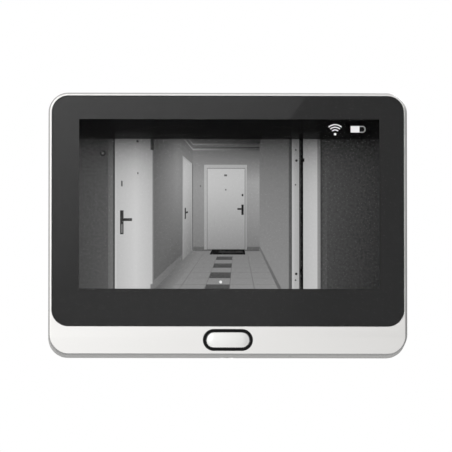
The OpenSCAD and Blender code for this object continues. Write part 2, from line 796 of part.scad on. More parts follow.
// Rear cover: side and back walls, the plate recess, screw wells and the openings of the sockets
module rear_cover() {
    color([0.72, 0.72, 0.72]) difference() {
        union() {
            difference() {
                union() {
                    soft_block(body_w, body_h, body_r, y_split, y_rear, 0, rear_edge_r);
                    slab(y_split - lip_l, y_split + lip_root)
                        rounded_rect(2 * (lip_half_w + lip_t), 2 * (lip_half_h + lip_t), inner_r - slip);
                }
                difference() {
                    union() {
                        slab(y_split + lip_root, y_back_inner)
                            rounded_rect(2 * inner_half_w, 2 * inner_half_h, inner_r);
                        slab(y_split - lip_l - overcut, y_split + lip_root + overcut)
                            rounded_rect(2 * lip_half_w, 2 * lip_half_h, inner_r - slip - lip_t);
                    }
                    slab(y_recess_inner, y_rear)
                        rounded_rect(recess_w + 2 * wall, recess_h + 2 * wall, recess_r + wall);
                }
            }
            at_corners(rear_screw_x, rear_screw_z) rod(rear_well_d, y_rear_boss, y_back_inner + wall / 2);
            translate([0, 0, -(recess_h / 2 + inner_half_h) / 2])
                block(lock_block_w, inner_half_h - recess_h / 2 + wall,
                      y_recess_inner, y_back_inner + wall / 2);
        }
        slab(y_recess, y_rear + overcut) rounded_rect(recess_w, recess_h, recess_r);
        block(cable_port_w, cable_port_h, y_recess_inner - overcut, y_recess + overcut);
        hook_slots();
        at_corners(rear_screw_x, rear_screw_z) {
            rod(m2_free_d, y_rear_boss - overcut, y_rear_seat + overcut);
            rod(rear_counterbore_d, y_rear_seat, y_rear + overcut);
        }
        translate([0, y_lock, -half_h - overcut]) {
            cylinder(d = lock_d + 2 * slip, h = half_h - recess_h / 2 + 2 * overcut);
            cylinder(d = lock_head_d + 2 * slip, h = lock_head_z + half_h + overcut);
        }
        translate([inner_half_w - overcut, y_board_back + usb_t / 2, usb_z]) rotate([0, 90, 0])
            linear_extrude(height = wall + 2 * overcut) pill(usb_w + 2 * port_clear, usb_t + 2 * port_clear);
        translate([inner_half_w - overcut, y_board_back + (card_t - card_slot_t) / 2 - port_clear, card_z])
            translate([0, 0, -card_slot_w / 2 - port_clear])
                cube([wall + 2 * overcut, card_slot_t + 2 * port_clear, card_slot_w + 2 * port_clear]);
        for (i = [0:speaker_slot_count - 1]) {
            z = speaker_z + (i - (speaker_slot_count - 1) / 2) * speaker_slot_pitch;
            y = y_speaker + (speaker_size[1] - speaker_slot_l) / 2;
            translate([-half_w - overcut, y, z - speaker_slot_w / 2])
                cube([wall + 2 * overcut, speaker_slot_l, speaker_slot_w]);
        }
        translate([microphone_x, y_microphone + microphone_size[1] / 2, -half_h - overcut])
            cylinder(d = microphone_hole_d, h = wall + 2 * overcut);
    }
}

module rear_screws() {
    color("silver") at_corners(rear_screw_x, rear_screw_z)
        screw_in(m2_d, rear_screw_l, m2_head_d, m2_head_t, y_rear_seat);
}

// Wall plate: folded steel sheet with four side hooks and a tab for the lock screw
module mounting_plate() {
    color([0.55, 0.56, 0.58]) difference() {
        union() {
            slab(y_plate_front, 0) rounded_rect(plate_w, plate_h, plate_r);
            for (s = [-1, 1], z = [-hook_z, hook_z]) {
                translate([s * (plate_w - hook_t) / 2, 0, z])
                    block(hook_t, hook_l, y_plate_front - hook_reach, y_plate_front / 2);
                translate([s * (plate_w / 2 + hook_lip / 2 - hook_t / 2), 0, z])
                    block(hook_lip + hook_t, hook_l,
                          y_plate_front - hook_reach, y_plate_front - hook_reach + hook_t);
            }
            translate([0, 0, (plate_t - plate_h) / 2])
                block(lock_tab_w, plate_t, y_plate_front - hook_reach, y_plate_front / 2);
        }
        rod(sleeve_hole_d, y_plate_front - overcut, overcut);
        for (s = [-1, 1]) translate([s * plate_screw_spacing / 2, 0, 0])
            rod(plate_screw_d, y_plate_front - overcut, overcut);
        translate([0, y_lock, -plate_h / 2 - overcut])
            cylinder(d = lock_d + 2 * seat_gap, h = plate_t + 2 * overcut);
    }
}

// Lock screw: comes up through the monitor's underside into the wall plate's tab
module lock_screw() {
    color("silver") translate([0, y_lock, lock_head_z]) {
        cylinder(d = lock_d, h = lock_tip_z - lock_head_z);
        translate([0, 0, -lock_head_t]) cylinder(d = lock_head_d, h = lock_head_t);
    }
}

// Clamp nut: a notched flange on the wall plate and a sleeve that screws onto the barrel
module clamp_nut() {
    color([0.78, 0.76, 0.7]) difference() {
        union() {
            rod(nut_flange_d, y_nut - nut_flange_t, y_nut);
            rod(sleeve_d, y_nut - nut_flange_t / 2, sleeve_l);
        }
        rod(nut_bore, y_nut - nut_flange_t - overcut, sleeve_l + overcut);
        for (i = [0:nut_notches - 1]) rotate([0, i * 360 / nut_notches, 0])
            translate([nut_flange_d / 2, 0, 0])
                block(2 * nut_notch_depth, nut_notch_w, y_nut - nut_flange_t - overcut, y_nut + overcut);
    }
}

// Camera barrel: a threaded tube, fixed in the head by a flange; the thread is drawn as rings
module camera_barrel() {
    y0 = door_t - barrel_l;
    turns = floor((barrel_l - 2 * thread_margin) / thread_pitch);
    rise = y_base_front + barrel_flange_t - y0;
    crest = [for (i = [0:turns - 1]) let (h = thread_margin + i * thread_pitch)
        each [[barrel_d / 2, h], [barrel_d / 2 - thread_depth, h + thread_pitch / 2]]];
    tail = thread_margin + turns * thread_pitch;
    color([0.7, 0.68, 0.62]) difference() {
        union() {
            translate([0, y0, 0]) rotate([-90, 0, 0]) rotate_extrude()
                polygon(concat([[barrel_bore / 2, 0], [barrel_d / 2 - thread_depth, 0]], crest,
                               [[barrel_d / 2, tail], [barrel_d / 2, rise], [barrel_bore / 2, rise]]));
            difference() {
                rod(barrel_flange_d, y_base_front, y_base_front + barrel_flange_t);
                rod(barrel_bore, y_base, y_seal + barrel_flange_t);
            }
        }
        at_angles(barrel_screw_angles, barrel_screw_r)
            rod(m2_hole_d, y_base, y_base_front + barrel_flange_t + overcut);
    }
}

module barrel_screws() {
    y_seat = y_base_front + barrel_flange_t;
    color("silver") at_angles(barrel_screw_angles, barrel_screw_r)
        screw_in(m2_d, barrel_screw_l, barrel_screw_head_d, barrel_screw_head_t, y_seat);
}

module door_gasket() {
    color([0.15, 0.15, 0.15]) difference() {
        rod(2 * base_r, door_t, y_base);
        rod(sleeve_d, door_t - overcut, y_base + overcut);
    }
}

// Head base: the back plate of the outdoor head, with stakes that hold its board
module head_base() {
    color([0.2, 0.2, 0.21]) difference() {
        union() {
            rod(2 * base_r, y_base, y_base_front);
            at_angles(head_post_angles, head_post_r) {
                rod(head_post_d, y_base_front - base_t / 2, y_head_board);
                rod(stake_d, y_base_front, y_head_board_front + stake_h);
            }
        }
        rod(barrel_d + 2 * running_gap, y_base - overcut, y_base_front + overcut);
        at_angles(barrel_screw_angles, barrel_screw_r)
            rod(m2_hole_d, y_base_front + barrel_flange_t - barrel_screw_l - slip, y_base_front + overcut);
        at_angles(head_boss_angles, head_boss_r) {
            rod(m2_free_d, y_base - overcut, y_base_front + overcut);
            rod(m2_head_d + 2 * slip, y_base - overcut, y_base + base_counterbore);
        }
    }
}

module head_seal() {
    color([0.25, 0.25, 0.25]) difference() {
        rod(2 * base_r, y_base_front, y_seal);
        rod(2 * shell_in_r, y_base_front - overcut, y_seal + overcut);
        at_angles(head_boss_angles, head_boss_r)
            rod(head_boss_d + 2 * slip, y_base_front - overcut, y_seal + overcut);
    }
}

// Head shell: the round outer housing, open to the front for the face panel
module head_shell() {
    front = y_head_front - y_base;
    ledge = y_panel_back - shell_ledge_t - y_base;
    edge = arc(head_r - head_edge_r, front - head_edge_r, head_edge_r, 0, 90);
    color([0.78, 0.78, 0.79]) difference() {
        union() {
            translate([0, y_base, 0]) rotate([-90, 0, 0]) rotate_extrude() polygon(concat(
                [[base_seat_r, 0], [head_r, 0]], edge,
                [[panel_recess_r, front], [panel_recess_r, y_panel_back - y_base],
                 [panel_ledge_r, y_panel_back - y_base], [panel_ledge_r, ledge],
                 [shell_in_r, ledge], [shell_in_r, y_seal - y_base],
                 [base_seat_r, y_seal - y_base]]));
            at_angles(head_boss_angles, head_boss_r) rod(head_boss_d, y_base_front, head_boss_top);
        }
        at_angles(head_boss_angles, head_boss_r)
            rod(m2_hole_d, y_base_front - overcut, y_base + base_counterbore + head_screw_l + slip);
    }
}

module head_screws() {
    color("silver") at_angles(head_boss_angles, head_boss_r)
        screw_out(m2_d, head_screw_l, m2_head_d, m2_head_t, y_base + base_counterbore);
}

module panel_hole(d) {
    rod(d, y_panel_back - overcut, y_panel_front + overcut);
}

// Face panel: the dark front disc, with holes for the lens, lamps, sensor, bell and sound
module face_panel() {
    color([0.05, 0.05, 0.06]) difference() {
        rod(2 * panel_r, y_panel_back, y_panel_front);
        translate([0, 0, lens_z]) panel_hole(lens_d + 2 * lens_panel_gap);
        translate([0, 0, pir_z]) panel_hole(pir_d + 2 * slip);
        translate([0, 0, bell_z]) panel_hole(bell_ring_d + 2 * slip);
        for (s = [-1, 1]) translate([s * led_x, 0, led_z]) panel_hole(led_d + 2 * led_clear);
        translate([sound_x, 0, sound_z]) {
            panel_hole(sound_hole_d);
            at_angles([for (i = [0:5]) 60 * i], sound_hole_pitch) panel_hole(sound_hole_d);
        }
        translate([-sound_x, 0, sound_z]) panel_hole(sound_hole_d);
    }
}

module head_board() {
    color([0.05, 0.32, 0.16]) difference() {
        rod(2 * head_board_r, y_head_board, y_head_board_front);
        at_angles(head_boss_angles, head_boss_r)
            rod(head_boss_d + 2 * head_boss_room, y_head_board - overcut, y_head_board_front + overcut);
        at_angles(head_post_angles, head_post_r)
            rod(stake_d + 2 * slip, y_head_board - overcut, y_head_board_front + overcut);
    }
}

module head_cable_socket() {
    color([0.9, 0.88, 0.8])
        block(head_socket_size[0], head_socket_size[2], y_head_board - head_socket_size[1], y_head_board);
}

module image_sensor() {
    color([0.15, 0.2, 0.25]) translate([0, 0, lens_z])
        block(sensor_size, sensor_size, y_head_board_front, y_head_board_front + sensor_t);
}

// Lens holder: carries the lens over the sensor, with a slot for the sliding infrared filter
module lens_holder() {
    chamber = sensor_size + 2 * sensor_room;
    color([0.1, 0.1, 0.1]) translate([0, 0, lens_z]) difference() {
        block(holder_size, holder_size, y_head_board_front, y_holder_front);
        block(chamber, chamber, y_head_board_front - overcut, y_filter_slot - chamber_roof);
        block(holder_size + 2 * overcut, filter_slot_h, y_filter_slot, y_filter_slot + filter_slot_t);
        rod(lens_mid_bore, y_head_board_front, y_holder_front);
        rod(lens_thread_d + 2 * seat_gap, y_lens_back - seat_gap, y_holder_front + overcut);
    }
}

module lens_barrel() {
    color([0.06, 0.06, 0.06]) translate([0, 0, lens_z]) difference() {
        union() {
            rod(lens_thread_d, y_lens_back, y_lens_head + overcut);
            rod(lens_d, y_lens_head, y_lens_tip);
        }
        rod(lens_mid_bore, y_lens_back - overcut, y_lens_tip + overcut);
        rod(lens_rear_d + 2 * seat_gap, y_lens_back - overcut, y_lens_back + lens_rear_pocket);
        rod(lens_front_d + 2 * seat_gap, y_lens_tip - lens_front_seat, y_lens_tip + overcut);
    }
}

// Front lens element: a disc with a domed face
module lens_front() {
    y0 = y_lens_tip - lens_front_seat;
    rim_angle = acos(lens_front_d / 2 / lens_front_radius);
    centre = lens_front_rim - lens_front_radius * sin(rim_angle);
    dome = arc(0, centre, lens_front_radius, rim_angle, 90, dome_steps);
    color([0.2, 0.25, 0.35, 0.7]) translate([0, y0, lens_z]) rotate([-90, 0, 0])
        rotate_extrude() polygon(concat([[0, 0], [lens_front_d / 2, 0]], dome));
}

module lens_rear() {
    y1 = y_lens_back + lens_rear_pocket;
    color([0.2, 0.25, 0.35, 0.7]) translate([0, 0, lens_z]) rod(lens_rear_d, y1 - lens_rear_t, y1);
}

module ir_leds() {
    color([0.2, 0.12, 0.16]) for (s = [-1, 1]) translate([s * led_x, 0, led_z]) {
        rod(led_d, y_head_board_front, y_led_tip - led_d / 2);
        translate([0, y_led_tip - led_d / 2, 0]) sphere(d = led_d);
    }
}

module pir_sensor() {
    color([0.75, 0.75, 0.76]) translate([0, 0, pir_z]) {
        rod(pir_can_rim_d, y_head_board_front, y_head_board_front + pir_can_rim_t);
        rod(pir_can_d, y_head_board_front, y_head_board_front + pir_can_h);
    }
}

// Motion sensor dome: a thin moulded lens, held behind the panel by its flange
module pir_dome() {
    r = pir_d / 2;
    inner_r = r - pir_wall;
    dome_r = (pow(r, 2) + pow(pir_dome_h, 2)) / (2 * pir_dome_h);
    dome_in_r = dome_r - pir_wall;
    centre = pir_flange_t + panel_t + pir_dome_h - dome_r;
    outside = arc(0, centre, dome_r, acos(r / dome_r), 90, dome_steps);
    inside = arc(0, centre, dome_in_r, 90, acos(inner_r / dome_in_r), dome_steps);
    flange = [[inner_r, 0], [r + pir_flange, 0], [r + pir_flange, pir_flange_t], [r, pir_flange_t]];
    color([0.93, 0.93, 0.9]) translate([0, y_panel_back - pir_flange_t, pir_z]) rotate([-90, 0, 0])
        rotate_extrude() polygon(concat(flange, outside, inside));
}

module bell_light_ring() {
    color([0.75, 0.88, 0.98]) translate([0, 0, bell_z]) difference() {
        union() {
            rod(bell_ring_d, y_bell_ring_back, y_head_front);
            rod(bell_ring_d + 2 * bell_flange, y_bell_ring_back, y_bell_ring_back + bell_flange_t);
        }
        rod(bell_ring_in_d, y_bell_ring_back - overcut, y_head_front + overcut);
    }
}

// Bell button: the round cap, the lip behind the light ring and the stem on the switch
module bell_button() {
    color([0.8, 0.8, 0.81]) translate([0, 0, bell_z]) {
        rod(bell_d, y_bell_back, y_bell_front);
        rod(bell_ring_in_d + 2 * bell_lip, y_bell_back, y_bell_lip);
        rod(bell_stem_d, y_bell_plunger_tip, y_bell_lip);
    }
}

module bell_switch() {
    y_bore = y_bell_plunger_tip - bell_plunger_l - bell_travel - slip;
    color([0.1, 0.1, 0.1]) translate([0, 0, bell_z]) difference() {
        block(bell_switch_size[0], bell_switch_size[2], y_head_board_front, y_bell_switch_front);
        rod(bell_plunger_d + 2 * seat_gap, y_bore, y_bell_switch_front + overcut);
    }
}

module bell_switch_plunger() {
    color([0.85, 0.8, 0.7]) translate([0, 0, bell_z])
        rod(bell_plunger_d, y_bell_plunger_tip - bell_plunger_l, y_bell_plunger_tip);
}

module bell_speaker() {
    color([0.12, 0.12, 0.12]) translate([sound_x, 0, sound_z])
        block(bell_speaker_size[0], bell_speaker_size[2], y_panel_back - bell_speaker_size[1], y_panel_back);
}

module bell_microphone() {
    color([0.6, 0.6, 0.6]) translate([-sound_x, 0, sound_z])
        rod(bell_mic_d, y_panel_back - bell_mic_t, y_panel_back);
}

// Infrared filter: a sliding carrier with one pane that blocks infrared light and one that is clear
module ir_filter_carrier() {
    color([0.15, 0.15, 0.15]) translate([0, 0, lens_z]) difference() {
        translate([-filter_step / 2, 0, 0]) block(filter_l, filter_h, y_filter, y_filter + filter_t);
        for (x = [0, -filter_step]) translate([x, 0, 0])
            block(filter_pane, filter_pane, y_filter - overcut, y_filter + filter_t + overcut);
    }
}

module ir_filter_panes() {
    color([0.75, 0.3, 0.35, 0.7]) for (x = [0, -filter_step]) translate([x, 0, lens_z])
        block(filter_pane, filter_pane, y_filter, y_filter + filter_pane_t);
}

front_frame();
cover_glass();
glass_tape();
lcd_panel();
lcd_backlight();
mid_frame();
frame_screws();
main_board();
board_screws();
processor_shield();
wifi_module();
wifi_antenna();
battery();
battery_tape();
speaker();
microphone();
home_button_ring();
home_switch();
usb_socket();
card_socket();
door_cable_socket();
door_cable_plug();
door_cable();
rear_cover();
rear_screws();
mounting_plate();
lock_screw();
home_button();
home_switch_plunger();
clamp_nut();
camera_barrel();
barrel_screws();
door_gasket();
head_base();
head_seal();
head_shell();
head_screws();
face_panel();
head_board();
head_cable_socket();
image_sensor();
lens_holder();
lens_barrel();
lens_front();
lens_rear();
ir_leds();
pir_sensor();
pir_dome();
bell_light_ring();
bell_switch();
bell_speaker();
bell_microphone();
bell_button();
bell_switch_plunger();
ir_filter_carrier();
ir_filter_panes();
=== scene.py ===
"""A peephole door camera: indoor monitor, wall plate, the clamp through the door and the outdoor head.

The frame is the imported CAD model: +X right, +Z up, +Y from the room through the door. Sizes are in
millimetres until a mesh is made.
"""

from math import radians

import bmesh
import bpy
import numpy as np
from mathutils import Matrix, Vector
from mathutils.geometry import tessellate_polygon


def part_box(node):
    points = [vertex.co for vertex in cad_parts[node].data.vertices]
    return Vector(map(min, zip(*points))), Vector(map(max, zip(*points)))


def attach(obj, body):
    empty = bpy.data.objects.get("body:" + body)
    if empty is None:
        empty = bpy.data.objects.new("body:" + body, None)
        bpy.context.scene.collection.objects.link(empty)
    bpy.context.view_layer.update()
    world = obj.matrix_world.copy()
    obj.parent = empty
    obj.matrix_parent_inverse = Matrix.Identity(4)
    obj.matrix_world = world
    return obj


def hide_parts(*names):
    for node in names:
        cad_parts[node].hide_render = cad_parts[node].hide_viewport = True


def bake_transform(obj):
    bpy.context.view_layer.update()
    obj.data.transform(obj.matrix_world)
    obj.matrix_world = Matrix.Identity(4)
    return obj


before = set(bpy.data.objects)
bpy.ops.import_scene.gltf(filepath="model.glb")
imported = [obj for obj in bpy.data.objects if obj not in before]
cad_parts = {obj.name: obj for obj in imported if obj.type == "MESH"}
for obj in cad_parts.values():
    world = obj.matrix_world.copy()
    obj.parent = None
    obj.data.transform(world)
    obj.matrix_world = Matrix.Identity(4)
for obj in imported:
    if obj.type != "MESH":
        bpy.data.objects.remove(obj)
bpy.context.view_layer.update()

# Camera
# A long lens far in front of the screen, a little to the left and below its middle,
# so that the left side and the underside of the monitor just show.
MM = 0.001
view_target = Vector((-0.62, -21, -1.0)) * MM
view_distance = 3.176
view_left = radians(1.1)
view_below = radians(5.3)
view_from = -Vector((np.sin(view_left) * np.cos(view_below),
                     np.cos(view_left) * np.cos(view_below),
                     np.sin(view_below)))

scene = bpy.context.scene
camera = bpy.data.objects.new("camera", bpy.data.cameras.new("camera"))
camera.data.lens = 800
camera.data.sensor_width = 36
camera.data.clip_end = 20
camera.location = view_target + view_distance * view_from
camera.rotation_euler = (-view_from).to_track_quat("-Z", "Y").to_euler()
scene.collection.objects.link(camera)
scene.camera = camera

# Studio light
# A softbox in front and to the left lights the face; a weak one below fills the underside, and one behind
# lights the side towards the door. The white room shows in reflections and adds a dim even light.
room_light = 0.25


def softbox(name, place, aim, size, power):
    """A square lamp that looks from place at aim."""
    lamp = bpy.data.objects.new(name, bpy.data.lights.new(name, "AREA"))
    lamp.data.size = size
    lamp.data.energy = power
    lamp.location = place
    lamp.rotation_euler = (Vector(aim) - Vector(place)).to_track_quat("-Z", "Y").to_euler()
    lamp.visible_camera = False
    scene.collection.objects.link(lamp)
    return lamp


softbox("key_light", place=(-0.27, -0.359, 0.135), aim=(0, -0.021, 0), size=0.26, power=2.15)
softbox("back_light", place=(0.35, 0.75, 0.45), aim=(0, 0.03, 0), size=0.4, power=6.0)
softbox("low_fill", place=(-0.1, -0.3, -0.9), aim=(0, 0, 0), size=0.6, power=1.75)

# Beside the camera stands a flat softbox that the black border mirrors. It is brighter towards its upper
# left, and a flag cuts it off on the right: sharply along a slant at the top, softly further down.
sheen = softbox("sheen_light", place=(0.015, -1.0, 0.1025), aim=(0.015, 0, 0.1025), size=0.18, power=0.0862)
sheen.data.shape = "RECTANGLE"
sheen.data.size_y = 0.115
sheen.data.use_nodes = True
lamp_tree = sheen.data.node_tree


def sum_of(tree, operation, *terms):
    """A node that works out one sum of other nodes' outputs and plain numbers."""
    node = tree.nodes.new("ShaderNodeMath")
    node.operation = operation
    for term, socket in zip(terms, node.inputs):
        if isinstance(term, bpy.types.NodeSocket):
            tree.links.new(term, socket)
        else:
            socket.default_value = term
    return node.outputs[0]


def span(tree, value, start, end, at_start, at_end, kind="LINEAR"):
    """A node that carries the span from start to end over to another span and holds at its ends."""
    node = tree.nodes.new("ShaderNodeMapRange")
    node.interpolation_type = kind
    for label, number in (("From Min", start), ("From Max", end), ("To Min", at_start), ("To Max", at_end)):
        node.inputs[label].default_value = number
    tree.links.new(value, node.inputs["Value"])
    return node.outputs[0]


on_lamp = lamp_tree.nodes.new("ShaderNodeNewGeometry").outputs["Position"]
upwards = lamp_tree.nodes.new("ShaderNodeVectorMath")
upwards.operation = "DOT_PRODUCT"
upwards.inputs[1].default_value = (-0.54, 0, 1)
sides = lamp_tree.nodes.new("ShaderNodeSeparateXYZ")
lamp_tree.links.new(on_lamp, upwards.inputs[0])
lamp_tree.links.new(on_lamp, sides.inputs[0])
flag_bend, flag_top, flag_low = 0.1346, 0.1440, 0.0558
glow = span(lamp_tree, upwards.outputs["Value"], start=0.0886, end=0.1731, at_start=0.3, at_end=1.42)
flag_edge = span(lamp_tree, sides.outputs["Z"], flag_bend, flag_top, at_start=0.0448, at_end=0.0513)
flag_blur = span(lamp_tree, sides.outputs["Z"], flag_low, flag_bend, at_start=0.0414, at_end=0.0005)
inside_flag = sum_of(lamp_tree, "SUBTRACT", flag_edge, sides.outputs["X"])
past_flag = sum_of(lamp_tree, "DIVIDE", inside_flag, flag_blur)
let_by = span(lamp_tree, past_flag, start=-0.5, end=0.5, at_start=0.2, at_end=1.0, kind="SMOOTHSTEP")
strength = sum_of(lamp_tree, "MULTIPLY", glow, let_by)
lamp_tree.links.new(strength, lamp_tree.nodes["Emission"].inputs["Strength"])

world = bpy.data.worlds.new("white_room")
scene.world = world
world.use_nodes = True
room = world.node_tree
room.nodes.clear()
seen_ray = room.nodes.new("ShaderNodeLightPath").outputs
mirrored = sum_of(room, "MAXIMUM", seen_ray["Is Glossy Ray"], seen_ray["Is Transmission Ray"])
direct = sum_of(room, "MAXIMUM", mirrored, seen_ray["Is Camera Ray"])
white = room.nodes.new("ShaderNodeBackground")
white.inputs["Color"].default_value = (1, 1, 1, 1)
backdrop = room.nodes.new("ShaderNodeOutputWorld")
room.links.new(span(room, direct, 0, 1, at_start=room_light, at_end=1), white.inputs["Strength"])
room.links.new(white.outputs[0], backdrop.inputs["Surface"])
scene.view_settings.view_transform = "Standard"


# Front frame
# The silver-white border and chin: one injection moulding in ABS with a satin paint.
# The glass drops into its recess, and a pill-shaped hole in the chin takes the home button.
body_w, body_h, body_r = 113.5, 83.0, 6.3
y_front, y_split = -21.0, -15.0
y_ledge_front, y_ledge_back = -19.95, -18.95
frame_cut = ((0.0, 2.0), (0.24, 1.1), (0.44, 0.36), (0.62, 0.12), (0.84, 0.0))
low_cut = 0.06
frame_wall = 0.7
glass_w, glass_h, glass_r, glass_z = 111.4, 73.15, 5.25, 3.775
glass_gap = 0.1
window_w, window_h = 106.1, 67.8
window_r = 0.3
recess_edge, hole_edge = 0.08, 0.1
ring_w, ring_h, button_z = 15.7, 6.8, -37.15
ring_gap = 0.05
touching = 1e-7


def outline(width, height, radius, centre=(0.0, 0.0), steps=12, along=0):
    """Points around a rounded rectangle in X and Z: a quarter circle at each corner, straight sides between,
    with a number of points along each side."""
    corner = np.arange(4)[:, None]
    angle = (corner + np.linspace(0, 1, steps + 1)) * np.pi / 2
    side_x = np.array([1, -1, -1, 1])[:, None] * (width / 2 - radius)
    side_z = np.array([1, 1, -1, -1])[:, None] * (height / 2 - radius)
    x = centre[0] + side_x + radius * np.cos(angle)
    z = centre[1] + side_z + radius * np.sin(angle)
    arcs = np.stack([x, z], axis=-1)
    step = np.linspace(0, 1, along + 2)[1:-1, None]
    sides = arcs[:, -1:] + (np.roll(arcs[:, :1], -1, axis=0) - arcs[:, -1:]) * step
    return np.concatenate([arcs, sides], axis=1).reshape(-1, 2)


def level(points, y):
    """An outline set at the depth y, one for all its points or one for each."""
    return np.column_stack([points[:, 0], np.full(len(points), y), points[:, 1]])


def eased(width, height, radius, y_side, y_face, edge, centre=(0.0, 0.0), hole=False, steps=6, land=0.03):
    """Loops that carry a side wall from y_side round into the face at y_face: in section a quarter circle
    of radius edge, which narrows an outline towards the face and widens a hole, and a narrow flat land."""
    angle = np.linspace(0, np.pi / 2, steps + 1)
    inset = np.append(edge * (1 - np.cos(angle)), edge + land) * (-1 if hole else 1)
    depth = y_face + np.sign(y_side - y_face) * np.append(edge * (1 - np.sin(angle)), 0)
    loops = [level(outline(width - 2 * i, height - 2 * i, radius - i, centre), y)
             for i, y in zip(inset, depth)]
    return [level(outline(width, height, radius, centre), y_side)] + loops


def band(*loops):
    """Quads between one closed loop of points and the next, each with the same number of points."""
    rows = np.stack(loops)
    index = np.arange(rows.shape[0] * rows.shape[1]).reshape(rows.shape[:2])
    after = np.roll(index, -1, axis=1)
    faces = np.stack([index[:-1], after[:-1], after[1:], index[1:]], axis=-1).reshape(-1, 4)
    return rows.reshape(-1, 3), faces


def flat(*loops):
    """A flat face inside the first loop, with the other loops as holes in it, in triangles."""
    polygon = [[Vector((x, z, 0)) for x, y, z in loop] for loop in loops]
    return np.concatenate(loops), np.array(tessellate_polygon(polygon))


def piece(name, parts, material, body, nodes=(), crisp=35):
    """One object made of skins. Points that touch are joined, faces turn outwards, and edges that bend by
    more than crisp degrees stay sharp. It moves with its body and stands for the CAD nodes named."""
    starts = np.cumsum([0] + [len(points) for points, faces in parts])
    faces = [face for (points, faces), start in zip(parts, starts)
             for face in (np.asarray(faces) + start).tolist()]
    mesh = bpy.data.meshes.new(name)
    mesh.from_pydata(np.concatenate([points for points, faces in parts]) * MM, [], faces)
    skin = bmesh.new()
    skin.from_mesh(mesh)
    bmesh.ops.remove_doubles(skin, verts=skin.verts, dist=touching)
    bmesh.ops.recalc_face_normals(skin, faces=skin.faces)
    skin.to_mesh(mesh)
    skin.free()
    return placed(name, mesh, material, body, nodes, crisp)


def placed(name, mesh, material, body, nodes=(), crisp=35):
    """Shades a mesh smooth up to its crisp edges, gives it a finish and hangs it on its body."""
    mesh.shade_smooth()
    mesh.set_sharp_from_angle(angle=radians(crisp))
    mesh.materials.clear()
    mesh.materials.append(material)
    made = bpy.data.objects.new(name, mesh)
    scene.collection.objects.link(made)
    even = made.modifiers.new("even_shading", "WEIGHTED_NORMAL")
    even.keep_sharp = True
    if body:
        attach(made, body)
    if nodes:
        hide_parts(*nodes)
    return made


def srgb(red, green, blue):
    """A colour as a screen shows it, 0 to 255, as the linear colour that the renderer takes."""
    value = np.array([red, green, blue]) / 255
    linear = np.where(value <= 0.04045, value / 12.92, ((value + 0.055) / 1.055) ** 2.4)
    return (*linear, 1.0)


def scaled(tree, colour, share):
    """A node that scales a colour."""
    node = tree.nodes.new("ShaderNodeVectorMath")
    node.operation = "SCALE"
    tree.links.new(colour, node.inputs[0])
    tree.links.new(share, node.inputs["Scale"])
    return node.outputs[0]


def grain_group():
    """Shared fine grain: a noise in the piece's own space shades the colour and the roughness, and gives
    a height."""
    group = bpy.data.node_groups.new("fine_grain", "ShaderNodeTree")
    for label, kind in (("Colour", "NodeSocketColor"), ("Shade spread", "NodeSocketFloat"),
                        ("Roughness", "NodeSocketFloat"), ("Roughness spread", "NodeSocketFloat"),
                        ("Grains per metre", "NodeSocketFloat")):
        group.interface.new_socket(label, in_out="INPUT", socket_type=kind)
    for label, kind in (("Colour", "NodeSocketColor"), ("Roughness", "NodeSocketFloat"),
                        ("Height", "NodeSocketFloat")):
        group.interface.new_socket(label, in_out="OUTPUT", socket_type=kind)
    given = group.nodes.new("NodeGroupInput").outputs
    result = group.nodes.new("NodeGroupOutput").inputs
    place = group.nodes.new("ShaderNodeTexCoord")
    noise = group.nodes.new("ShaderNodeTexNoise")
    noise.inputs["Detail"].default_value = 3
    link = group.links.new
    link(place.outputs["Object"], noise.inputs["Vector"])
    link(given["Grains per metre"], noise.inputs["Scale"])
    centred = sum_of(group, "SUBTRACT", noise.outputs[0], 0.5)
    shade = sum_of(group, "MULTIPLY_ADD", centred, given["Shade spread"], 1.0)
    rough = sum_of(group, "MULTIPLY_ADD", centred, given["Roughness spread"], given["Roughness"])
    link(scaled(group, given["Colour"], shade), result["Colour"])
    link(rough, result["Roughness"])
    link(noise.outputs[0], result["Height"])
    return group


fine_grain = grain_group()


def finish(name, colour, roughness, grains=1500, shade=0.06, rough=0.08, relief=0.0, flop_and_edge_shade=1.0, **sockets):
    """A surface finish: a colour and a roughness varied by the fine grain, a relief in millimetres, a share
    of the colour that is left where the surface is seen at a slant, which stands for a flake paint's flop
    and for painted shade on edges that turn away from the camera, and plain values for the shader's
    other sockets, named with underscores for spaces."""
    made = bpy.data.materials.new(name)
    made.use_nodes = True
    tree = made.node_tree
    nodes, link = tree.nodes, tree.links.new
    shader = nodes["Principled BSDF"]
    grain = nodes.new("ShaderNodeGroup")
    grain.node_tree = fine_grain
    grain.inputs["Colour"].default_value = colour
    grain.inputs["Shade spread"].default_value = shade
    grain.inputs["Roughness"].default_value = roughness
    grain.inputs["Roughness spread"].default_value = rough
    grain.inputs["Grains per metre"].default_value = grains
    link(grain.outputs["Colour"], shader.inputs["Base Color"])
    link(grain.outputs["Roughness"], shader.inputs["Roughness"])
    # Painted shade: the colour is darkened where the surface is seen at a slant, so edges that turn away
    # look shaded.
    if flop_and_edge_shade < 1:
        slant = nodes.new("ShaderNodeLayerWeight")
        kept = span(tree, slant.outputs["Facing"], start=0.4, end=0.8, at_start=1.0, at_end=flop_and_edge_shade)
        link(scaled(tree, grain.outputs["Colour"], kept), shader.inputs["Base Color"])
    if relief:
        bump = nodes.new("ShaderNodeBump")
        bump.inputs["Distance"].default_value = relief * MM
        link(grain.outputs["Height"], bump.inputs["Height"])
        link(bump.outputs["Normal"], shader.inputs["Normal"])
    for label, value in sockets.items():
        shader.inputs[label.replace("_", " ")].default_value = value
    return made
